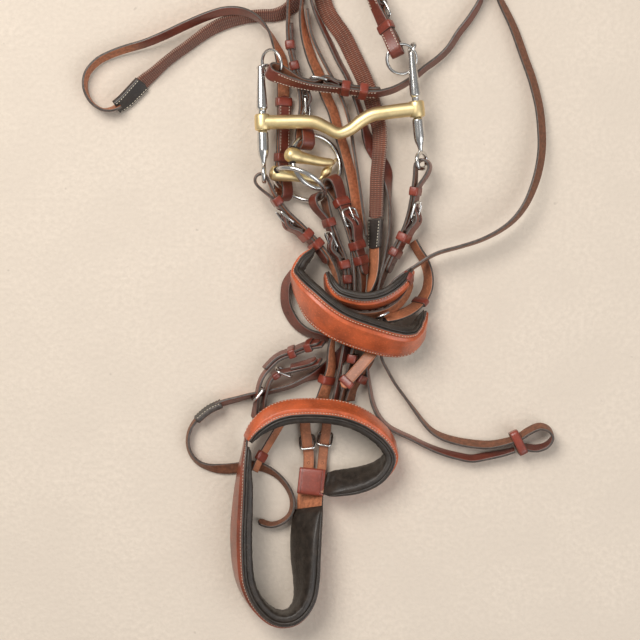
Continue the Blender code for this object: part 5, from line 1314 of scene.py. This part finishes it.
def make_plain_straps():
    """Grip, sleeves, hand part, tail and headstall straps, each one skin along its route."""
    for name, (route, width, thick, kind) in PLAIN.items():
        path = leaning(route, width, thick).resampled(PLAIN_STEP)
        tip = ROUND_TIP if name in ROUND_ENDED else CUT_TIP
        flip = -1.0 if name in FACE_DOWN else 1.0
        put(name + "_skin", strap_mesh(name, path, width, thick, tip, flip), kind, nodes=(name,))
    for name, (owner, start, stop) in BILLETS.items():
        route, width, thick, kind = PLAIN[owner]
        path = leaning(route, width, thick).resampled(PLAIN_STEP)
        held = (path.run >= start) & (path.run <= stop)
        inside = np.minimum(path.run - start + BILLET_LEAD, stop - path.run + BILLET_EASE)
        apart = LAYER_GAP * np.clip(inside / BILLET_EASE, BILLET_CLOSEST, 1)
        over = Path((path.centre + path.out * apart[:, None])[held][::-1], path.across[held][::-1])
        put(name, strap_mesh(name, over, width, thick, ROUND_TIP, -1.0), kind, nodes=(owner,))
    for name, (route, width) in CROWN_STRAPS.items():
        path = leaning(route).resampled(PLAIN_STEP)
        mesh = strap_mesh(name, path, width, THIN_THICK, CUT_TIP, -1.0)
        put(name, mesh, "flesh", nodes=("crown_leather",))
    path = leaning(CHIN_STRAP).resampled(PLAIN_STEP)
    put("chin_strap", strap_mesh("chin_strap", path, CHIN_STRAP_WIDTH, STRAP_THICK, CUT_TIP, -1.0), "flesh")
    bar = tube_mesh("noseband_bar", NOSEBAND_BAR, NOSEBAND_BAR_R, UP, THIN_SIDES, False)
    put("noseband_bar", bar, "steel")


def band_path(route):
    """A band's path at an even spacing, with its width, its padding and how far its middle is raised."""
    path = leaning(route)
    fine = path.resampled(BAND_STEP)
    at = path.run * fine.length / path.length
    width, pad = (np.interp(fine.run, at, column) for column in path.columns.T)
    return fine, width, pad, raised(pad)


def raised(pad):
    """How far a band's middle stands up over its padding."""
    return PANEL_RAISE * np.minimum(1.0, pad / FULL_PAD)


def band_height(v, crown):
    """Height of a band's face over v from -1 to 1.

    A smooth step from flat margins to a middle that falls off by 0.3 v v, less a bell-shaped stitch groove.
    """
    middle = smooth(np.clip((0.75 - np.abs(v)) / 0.14, 0, 1)) * (1 - 0.3 * v**2)
    groove = np.exp(-(((np.abs(v) - 0.775) / 0.035) ** 2))
    return PANEL_THICK / 2 - GROOVE_DEPTH * groove + crown * middle


def make_bands():
    """Outer leathers of the four padded bands: a raised face, a flat back and half-round edges."""
    v = np.linspace(-1, 1, 81)
    back = -v[::8]
    round_out, round_up = np.cos(EDGE_ANGLES), np.sin(EDGE_ANGLES)
    side = np.hstack([v, np.ones(len(round_out)), back, -np.ones(len(round_out))])
    edge = np.hstack([0 * v, round_out, 0 * back, -round_out]) * PANEL_EDGE
    level = np.hstack([round_up, -np.ones(len(back)), -round_up])
    face = np.hstack([np.ones(len(v)), level])
    for name, (route, kind) in BANDS.items():
        path, width, _, crown = band_path(route)
        shape = (len(width), 1)
        w = side * (width[:, None] / 2 - PANEL_EDGE) + edge
        n = np.hstack([band_height(v, crown[:, None]), np.tile(level * PANEL_THICK / 2, shape)])
        # Side is scaled so that the leather's darkened tooled line, painted shade, falls in the stitch groove
        values = {"face": np.tile(face, shape), "side": np.tile(side * 0.98, shape)}
        mesh = grid_mesh(name, path.section(w, n), values=values)
        put(name + "_panel", mesh, kind, nodes=(name + "_leather",))


def make_linings():
    """Soft linings: a full roll behind each band, drawn in at both seams, with folds across it.

    The section is a superellipse with a bell-shaped channel along its back. Folds are sums of sines along the
    run, deeper where the band bends towards the lining, and a round piping follows each seam.
    """
    folds = bpy.context.scene.bridle_looks.fold_depth / MM
    angle = turns(48)
    c, s = np.cos(angle), np.sin(angle)
    below = s < 0
    for name, (route, _) in BANDS.items():
        path, width, pad, _ = band_path(route)
        padded = np.flatnonzero(pad > LEAST_PAD)
        held = slice(padded[0], padded[-1] + 1)
        path, width, pad = Path(path.centre[held], path.across[held]), width[held], pad[held]
        bend = np.gradient(path.along, axis=0) / np.gradient(path.run)[:, None]
        inward = np.clip(-np.sum(bend * path.out, axis=1) * 60, 0, 1)[:, None]
        closing = np.clip(np.minimum(path.run, path.length - path.run) / END_CLOSING, 0.15, 1) ** 0.5
        half = (width / 2 + LINING_PROUD)[:, None]
        deep = ((pad + PAD_GAP) / 2 * closing)[:, None]
        w = half * squared(c, SOFT_SQUARE)
        n = deep * squared(s, SOFT_SQUARE) - PANEL_THICK / 2 - deep
        channel = np.exp(-((w / (CHANNEL_SHARE * half)) ** 2)) * CHANNEL_DEPTH * below
        run = path.run[:, None]
        wave = np.sin(run / 1.7 + 2.2 * c) + 0.6 * np.sin(run / 0.83 - 3.1 * c)
        wave = wave + 0.5 * np.sin(run / 4.3 + 1.3 * s)
        fold = folds * (0.35 + 0.65 * inward) * wave * (0.3 + 0.5 * below) * np.abs(s) ** 0.5
        n = n - fold * below * np.minimum(1, deep / 3) + channel * closing[:, None]
        parts = [grid_mesh(name, path.section(w, n))]
        under = np.full(run.shape, -PANEL_THICK / 2 - PIPING_UNDER)
        for side in (-1, 1):
            line = path.section(side * (width[:, None] / 2 + PIPING_OUT), under)[:, 0]
            parts.append(tube_mesh(name, line, PIPING_R * np.clip(closing, 0.4, 1), path.out, 14, False))
        made = put(name + "_pad", joined(name, parts), "lining", nodes=(name + "_lining",))


def seams(name, path, starts, across, out, length, radius=STITCH_R):
    """Two rows of stitches, one at each side of a path."""
    return [stitches_mesh(name, path, starts, side * across, out, length, radius) for side in (-1, 1)]


def make_stitching():
    """Thread along the bands' margins, the sewn stretches of the straps and the rein sleeves."""
    looks = bpy.context.scene.bridle_looks
    pitch, length = looks.stitch_pitch / MM, looks.stitch_length / MM
    for name, (route, _) in BANDS.items():
        path, width, pad, _ = band_path(route)
        starts = np.arange(SEAM_START, path.length - SEAM_END, pitch)
        across = BAND_SEAM * (np.interp(starts, path.run, width) / 2 - PANEL_EDGE)
        out = band_height(BAND_SEAM, raised(np.interp(starts, path.run, pad))) - BAND_STITCH_SINK
        rows = seams(name, path, starts, across, out, length, BAND_STITCH_R)
        put(name + "_stitches", joined(name, rows), "thread")
    for name, strap in STRAPS.items():
        edge, out = strap.width / 2 - STITCH_INSET, -strap.side * (STRAP_THICK / 2 + STITCH_PROUD)
        spans = [(SEAM_START, min(strap.keepers) - KEEPER_CLEAR)]
        if strap.bar:
            spans.append((strap.bar + CHAPE_CLEAR[0], strap.bar + CHAPE_LENGTH - CHAPE_CLEAR[1]))
        rows = []
        for low, high in SEWN.get(name, spans):
            starts = strap.spine.length - np.arange(low, high, pitch)
            if len(starts):
                rows += seams(name, strap.spine, starts, edge, out, length)
        if name in SEWN_BACK:
            starts = [strap.back_run(distance) for distance in np.arange(*SEWN_BACK[name], pitch)]
            rows += seams(name, strap.path, starts, edge, out, length)
        put(name + "_stitches", joined(name, rows), "thread")
    for name in SLEEVES:
        route, width, thick, _ = PLAIN[name]
        path = leaning(route, width, thick).resampled(1.0)
        starts = np.arange(SLEEVE_CLEAR[0], path.length - SLEEVE_CLEAR[1], pitch)
        edge, out = width / 2 - SLEEVE_INSET, thick / 2 + STITCH_PROUD
        rows = [stitches_mesh(name, path, starts, across * edge, up * out, length)
                for across in (-1, 1) for up in (-1, 1)]
        put(name + "_stitches", joined(name, rows), "thread")


def hole_mesh(place, height):
    """A punched hole's dish: rings, each a circle at its own height over the strap."""
    centre, along, across, out = place
    angle = turns(16)[:, None]
    flat = along * np.cos(angle) + across * np.sin(angle)
    radius, rise = HOLE_RINGS.T
    return grid_mesh("hole", centre + out * height + flat * radius[:, None, None] + out * rise[:, None, None])


def make_holes():
    """Punched holes: shallow dark dishes on the straps that show them."""
    # The dishes are not cut through: their dark colour is painted shade standing in for the holes
    dishes = []
    for route, spot, thick, side in PLAIN_HOLES:
        path = leaning(route)
        *place, out = path.place(path.nearest(*spot))
        dishes.append(hole_mesh((*place, out * side), thick / 2 + PLAIN_HOLE_PROUD))
    for strap in STRAPS.values():
        if not strap.bar:
            continue
        for distance in np.arange(strap.bar + HOLES_FROM_BAR, strap.end - HOLES_FROM_END, HOLE_PITCH):
            if min(abs(distance - keeper) for keeper in strap.keepers) >= HOLE_FROM_KEEPER:
                height = strap.lift(distance) + STRAP_THICK / 2 + BILLET_HOLE_PROUD
                dishes.append(hole_mesh(strap.place(distance), height))
    put("punched_holes", joined("holes", dishes), "hole")


def cheek_mesh(name, axis, tilt, ring, ring_r, eyelet_at):
    """A curb cheek: a turned shank, an eye at its upper end, and an eyelet round its ring's wire below."""
    origin, along = np.array(axis[0]), unit(np.array(axis[1], dtype=float))
    towards_eye = np.array((-math.sin(tilt), 0, math.cos(tilt)))
    side = unit(towards_eye - along * (towards_eye @ along))
    centre = origin + along * CHEEK_EYE_AT
    eye = closed_curve([centre + along * u + side * w for u, w in CHEEK_EYE], CURVE_POINTS)
    middle, u, v = ring_axes(ring)
    point = circle(middle, u, v, ring_r, eyelet_at)[0]
    tangent = v * math.cos(eyelet_at) - u * math.sin(eyelet_at)
    towards = unit(origin + along * EYELET_FROM_MIDDLE - point)
    eyelet = circle(point, towards, np.cross(tangent, towards), EYELET_R, turns(64))
    return joined(name, [rod_mesh(name, origin, along, CHEEK_PROFILE),
                         tube_mesh(name, eye, CHEEK_EYE_WIRE, np.cross(along, side), WIRE_SIDES),
                         tube_mesh(name, eyelet, EYELET_WIRE, tangent, WIRE_SIDES)])


def make_curb_bit():
    """Sliding mouthpiece, two cheeks with their eyes, and two small rings."""
    rows = spline(MOUTHPIECE, 0.8)
    run = run_along(rows[:, :3])
    to_end = np.minimum(run, run[-1] - run)
    girth = rows[:, 3] * MOUTH_SWELL + 0.5 * np.exp(-((to_end / 9) ** 2))
    parts = [tube_mesh("mouth", rows[:, :3], girth, UP, ROD_SIDES, False)]
    parts += [collar_mesh("boss", *axis, BOSS_PROFILE) for axis, *_ in CHEEKS.values()]
    put("weymouth_mouth", joined("mouth", parts), "brass", "weymouth_mouthpiece", ("weymouth_mouthpiece",))
    for side, cheek in CHEEKS.items():
        name = "weymouth_cheek_" + side
        put(name + "_form", cheek_mesh(name, *cheek), "steel", nodes=(name,))
    for side, (_, _, ring, radius, _) in CHEEKS.items():
        name = "curb_ring_" + side
        put(name + "_wire", ring_mesh(name, ring, radius, CURB_RING_WIRE), "steel", name, (name,))


def make_bradoon():
    """Two arms that hold each other by a link, and their loose rings.

    The link is two flat rings with a swelling between them, 1 - s s to a power.
    """
    d = unit(np.array(LINK_DIRECTION))
    flat = np.cross(d, UP)
    link = np.array(LINK_CENTRE)
    for side, (rows, end, *_) in BRADOON.items():
        name = "bradoon_arm_" + side
        dense = spline(rows, 0.6)
        eye = circle(link + d * end * (LINK_HOLE_OFFSET + ARM_EYE_R), d, UP, ARM_EYE_R, turns(64))
        parts = [tube_mesh(name, dense[:, :3], dense[:, 3] * ARM_SWELL, ARM_SIDE, ROD_SIDES, False),
                 tube_mesh(name, eye, ARM_EYE_WIRE, flat, WIRE_SIDES)]
        put(name + "_form", joined(name, parts), "brass", nodes=(name,))
    # Dark sleeves round each ring where an arm holds it: painted shade in the gap of the bore
    bores = []
    for _, _, ring, radius, at in BRADOON.values():
        centre, u, v = ring_axes(ring)
        arc = circle(centre, u, v, radius, at + np.linspace(-1, 1, 21) * BORE_HALF / radius)
        bores.append(tube_mesh("bore", arc, BRADOON_WIRE + BORE_SLACK, np.cross(u, v), 24, False))
    put("bradoon_bores", joined("bores", bores), "hole")
    angle = turns(WIRE_SIDES)
    middle, half = (LINK_HOLE_R + LINK_RIM_R) / 2, (LINK_RIM_R - LINK_HOLE_R) / 2
    profile = np.column_stack([LINK_THICK / 2 * squared(np.sin(angle), SOFT_SQUARE),
                               middle + half * squared(np.cos(angle), SOFT_SQUARE)])
    parts = [collar_mesh("link", link + d * end * LINK_HOLE_OFFSET, flat, profile) for end in (-1, 1)]
    spread = np.linspace(-LINK_HALF, LINK_HALF, 41)
    swell = LINK_WAIST_R * np.clip(1 - (spread / (LINK_HALF + 0.2)) ** 2, 0.05, 1) ** 0.75
    parts.append(tube_mesh("link", link + d * spread[:, None], swell, flat, 28, False))
    put("bradoon_link_form", joined("link", parts), "brass", "bradoon_link", ("bradoon_link",))
    for side, (_, _, ring, radius, _) in BRADOON.items():
        name = "bradoon_ring_" + side
        put(name + "_wire", ring_mesh(name, ring, radius, BRADOON_WIRE), "steel", name, (name,))


def lamp(name, place, size, power, colour):
    """A soft square light that looks at the middle of the bundle."""
    data = bpy.data.lights.new(name, "AREA")
    data.size = size
    data.energy = power
    data.color = colour
    made = bpy.data.objects.new(name, data)
    bpy.context.scene.collection.objects.link(made)
    x, y, z = made.location = place
    made.rotation_euler = (math.atan2(math.hypot(x, y), z), 0, math.atan2(x, -y))
    return made


def make_stage():
    """Pale floor, two soft lamps, an even sky and the camera straight above."""
    scene = bpy.context.scene
    gain = scene.bridle_looks.light_gain
    mesh = bpy.data.meshes.new("floor")
    corners = [(FLOOR_HALF * x, FLOOR_HALF * y, 0) for x, y in ((-1, -1), (1, -1), (1, 1), (-1, 1))]
    mesh.from_pydata(corners, [], [(0, 1, 2, 3)])
    mesh.materials.append(finish("floor"))
    ground = bpy.data.objects.new("floor", mesh)
    scene.collection.objects.link(ground)
    lamps = [lamp(name, place, size, power * gain, colour)
             for name, (place, size, power, colour) in LAMPS.items()]
    world = bpy.data.worlds.new("sky")
    world.use_nodes = True
    sky = world.node_tree.nodes["Background"].inputs
    sky["Color"].default_value = SKY_COLOUR
    sky["Strength"].default_value = SKY_STRENGTH * gain
    scene.world = world
    scene.view_settings.view_transform = "Standard"
    data = bpy.data.cameras.new("camera")
    data.sensor_fit = "HORIZONTAL"
    data.angle = 2 * math.atan(HALF_VIEW / CAMERA_PLACE[2])
    camera = bpy.data.objects.new("camera", data)
    scene.collection.objects.link(camera)
    camera.location = CAMERA_PLACE
    scene.camera = camera


# Add-on


def colour_field(name, value, note):
    """A colour field of the panel."""
    return bpy.props.FloatVectorProperty(name=name, description=note, subtype="COLOR", size=3, min=0, max=1,
                                         default=value)


def length_field(name, value, low, high, note):
    """A length field of the panel, in metres."""
    return bpy.props.FloatProperty(name=name, description=note, default=value, min=low, max=high,
                                   subtype="DISTANCE", unit="LENGTH")


class BridleLooks(bpy.types.PropertyGroup):
    """Colours and small sizes of the bridle's finish."""

    strap_colour: colour_field("Strap grain", (0.17, 0.036, 0.020), "Grain side of the straps")
    keeper_colour: colour_field("Keepers", (0.25, 0.046, 0.026), "Grain of the keepers and runners")
    crown_colour: colour_field("Crown", (0.26, 0.062, 0.030), "Outer leather of the crown")
    panel_colour: colour_field("Padded bands", (0.60, 0.125, 0.042), "Outer leather of browband and noseband")
    flesh_colour: colour_field("Flesh side", (0.46, 0.165, 0.075), "Suede side of the straps")
    edge_colour: colour_field("Painted edges", (0.085, 0.066, 0.055), "Edges of the straps")
    lining_colour: colour_field("Linings", (0.031, 0.022, 0.016), "Soft padding leather")
    sleeve_colour: colour_field("Sleeves", (0.045, 0.038, 0.034), "Leather sleeves at the ends of the grip")
    web_colour: colour_field("Web grip", (0.26, 0.085, 0.045), "Ribbed web of the rein grip")
    thread_colour: colour_field("Thread", (0.86, 0.76, 0.60), "Stitching")
    steel_colour: colour_field("Steel", (0.72, 0.71, 0.69), "Buckles, rings and curb cheeks")
    brass_colour: colour_field("Brass", (0.93, 0.74, 0.40), "Mouthpieces")
    floor_colour: colour_field("Floor", (0.76, 0.655, 0.545), "Floor under the bundle")
    stitch_pitch: length_field("Stitch pitch", 0.0028, 0.002, 0.01, "Distance from stitch to stitch")
    stitch_length: length_field("Stitch length", 0.0020, 0.001, 0.008, "Length of thread that shows")
    fold_depth: length_field("Fold depth", 0.00022, 0, 0.002, "Depth of the folds in the linings")
    light_gain: bpy.props.FloatProperty(name="Light", description="Strength of lamps and sky", default=1.0,
                                        min=0.1, max=4.0, subtype="FACTOR")


class BRIDLE_OT_turned_straps(bpy.types.Operator):
    """Make the cheekpieces and reins that turn round their bit"""

    bl_idname = "bridle.turned_straps"
    bl_label = "Turned straps"
    bl_options = {"REGISTER", "UNDO"}

    def execute(self, context):
        make_turned_straps()
        return {"FINISHED"}


class BRIDLE_OT_keepers(bpy.types.Operator):
    """Make the keepers, the runners and the loop at the rein's end"""

    bl_idname = "bridle.keepers"
    bl_label = "Keepers"
    bl_options = {"REGISTER", "UNDO"}

    def execute(self, context):
        make_keepers()
        return {"FINISHED"}


class BRIDLE_OT_buckles(bpy.types.Operator):
    """Make the buckles with their tongues and chapes"""

    bl_idname = "bridle.buckles"
    bl_label = "Buckles"
    bl_options = {"REGISTER", "UNDO"}

    def execute(self, context):
        make_buckles()
        return {"FINISHED"}


class BRIDLE_OT_plain_straps(bpy.types.Operator):
    """Make the single straps, the rein grip and its sleeves"""

    bl_idname = "bridle.plain_straps"
    bl_label = "Plain straps and grip"
    bl_options = {"REGISTER", "UNDO"}

    def execute(self, context):
        make_plain_straps()
        return {"FINISHED"}


class BRIDLE_OT_bands(bpy.types.Operator):
    """Make the outer leathers of crown, browband, noseband and chin pad"""

    bl_idname = "bridle.bands"
    bl_label = "Padded band leathers"
    bl_options = {"REGISTER", "UNDO"}

    def execute(self, context):
        make_bands()
        return {"FINISHED"}


class BRIDLE_OT_linings(bpy.types.Operator):
    """Make the soft linings of the padded bands"""

    bl_idname = "bridle.linings"
    bl_label = "Soft linings"
    bl_options = {"REGISTER", "UNDO"}

    def execute(self, context):
        make_linings()
        return {"FINISHED"}


class BRIDLE_OT_stitching(bpy.types.Operator):
    """Make the rows of stitches"""

    bl_idname = "bridle.stitching"
    bl_label = "Stitching"
    bl_options = {"REGISTER", "UNDO"}

    def execute(self, context):
        make_stitching()
        return {"FINISHED"}


class BRIDLE_OT_holes(bpy.types.Operator):
    """Make the punched holes"""

    bl_idname = "bridle.holes"
    bl_label = "Punched holes"
    bl_options = {"REGISTER", "UNDO"}

    def execute(self, context):
        make_holes()
        return {"FINISHED"}


class BRIDLE_OT_curb_bit(bpy.types.Operator):
    """Make the curb bit with its sliding mouthpiece"""

    bl_idname = "bridle.curb_bit"
    bl_label = "Curb bit"
    bl_options = {"REGISTER", "UNDO"}

    def execute(self, context):
        make_curb_bit()
        return {"FINISHED"}


class BRIDLE_OT_bradoon(bpy.types.Operator):
    """Make the bradoon with its link and loose rings"""

    bl_idname = "bridle.bradoon"
    bl_label = "Bradoon"
    bl_options = {"REGISTER", "UNDO"}

    def execute(self, context):
        make_bradoon()
        return {"FINISHED"}


class BRIDLE_OT_stage(bpy.types.Operator):
    """Make the floor, the lamps and the camera"""

    bl_idname = "bridle.stage"
    bl_label = "Stage"
    bl_options = {"REGISTER", "UNDO"}

    def execute(self, context):
        make_stage()
        return {"FINISHED"}


OPERATORS = (BRIDLE_OT_turned_straps, BRIDLE_OT_keepers, BRIDLE_OT_buckles, BRIDLE_OT_plain_straps,
             BRIDLE_OT_bands, BRIDLE_OT_linings, BRIDLE_OT_stitching, BRIDLE_OT_holes, BRIDLE_OT_curb_bit,
             BRIDLE_OT_bradoon, BRIDLE_OT_stage)


class BRIDLE_PT_panel(bpy.types.Panel):
    """Colours, sizes and makers of the bridle"""

    bl_label = "Bridle"
    bl_idname = "BRIDLE_PT_panel"
    bl_space_type = "VIEW_3D"
    bl_region_type = "UI"
    bl_category = "Bridle"

    def draw(self, context):
        """List the fields and the makers."""
        looks = context.scene.bridle_looks
        for field in BridleLooks.__annotations__:
            self.layout.prop(looks, field)
        for operator in OPERATORS:
            self.layout.operator(operator.bl_idname)


CLASSES = (BridleLooks, *OPERATORS, BRIDLE_PT_panel)


def register():
    """Register the classes and the scene's settings."""
    for kind in CLASSES:
        bpy.utils.register_class(kind)
    bpy.types.Scene.bridle_looks = bpy.props.PointerProperty(type=BridleLooks)


def unregister():
    """Take them away again."""
    del bpy.types.Scene.bridle_looks
    for kind in reversed(CLASSES):
        bpy.utils.unregister_class(kind)


def main():
    """Build every piece and the stage."""
    register()
    for operator in OPERATORS:
        group, action = operator.bl_idname.split(".")
        getattr(getattr(bpy.ops, group), action)()


if __name__ == "__main__":
    main()
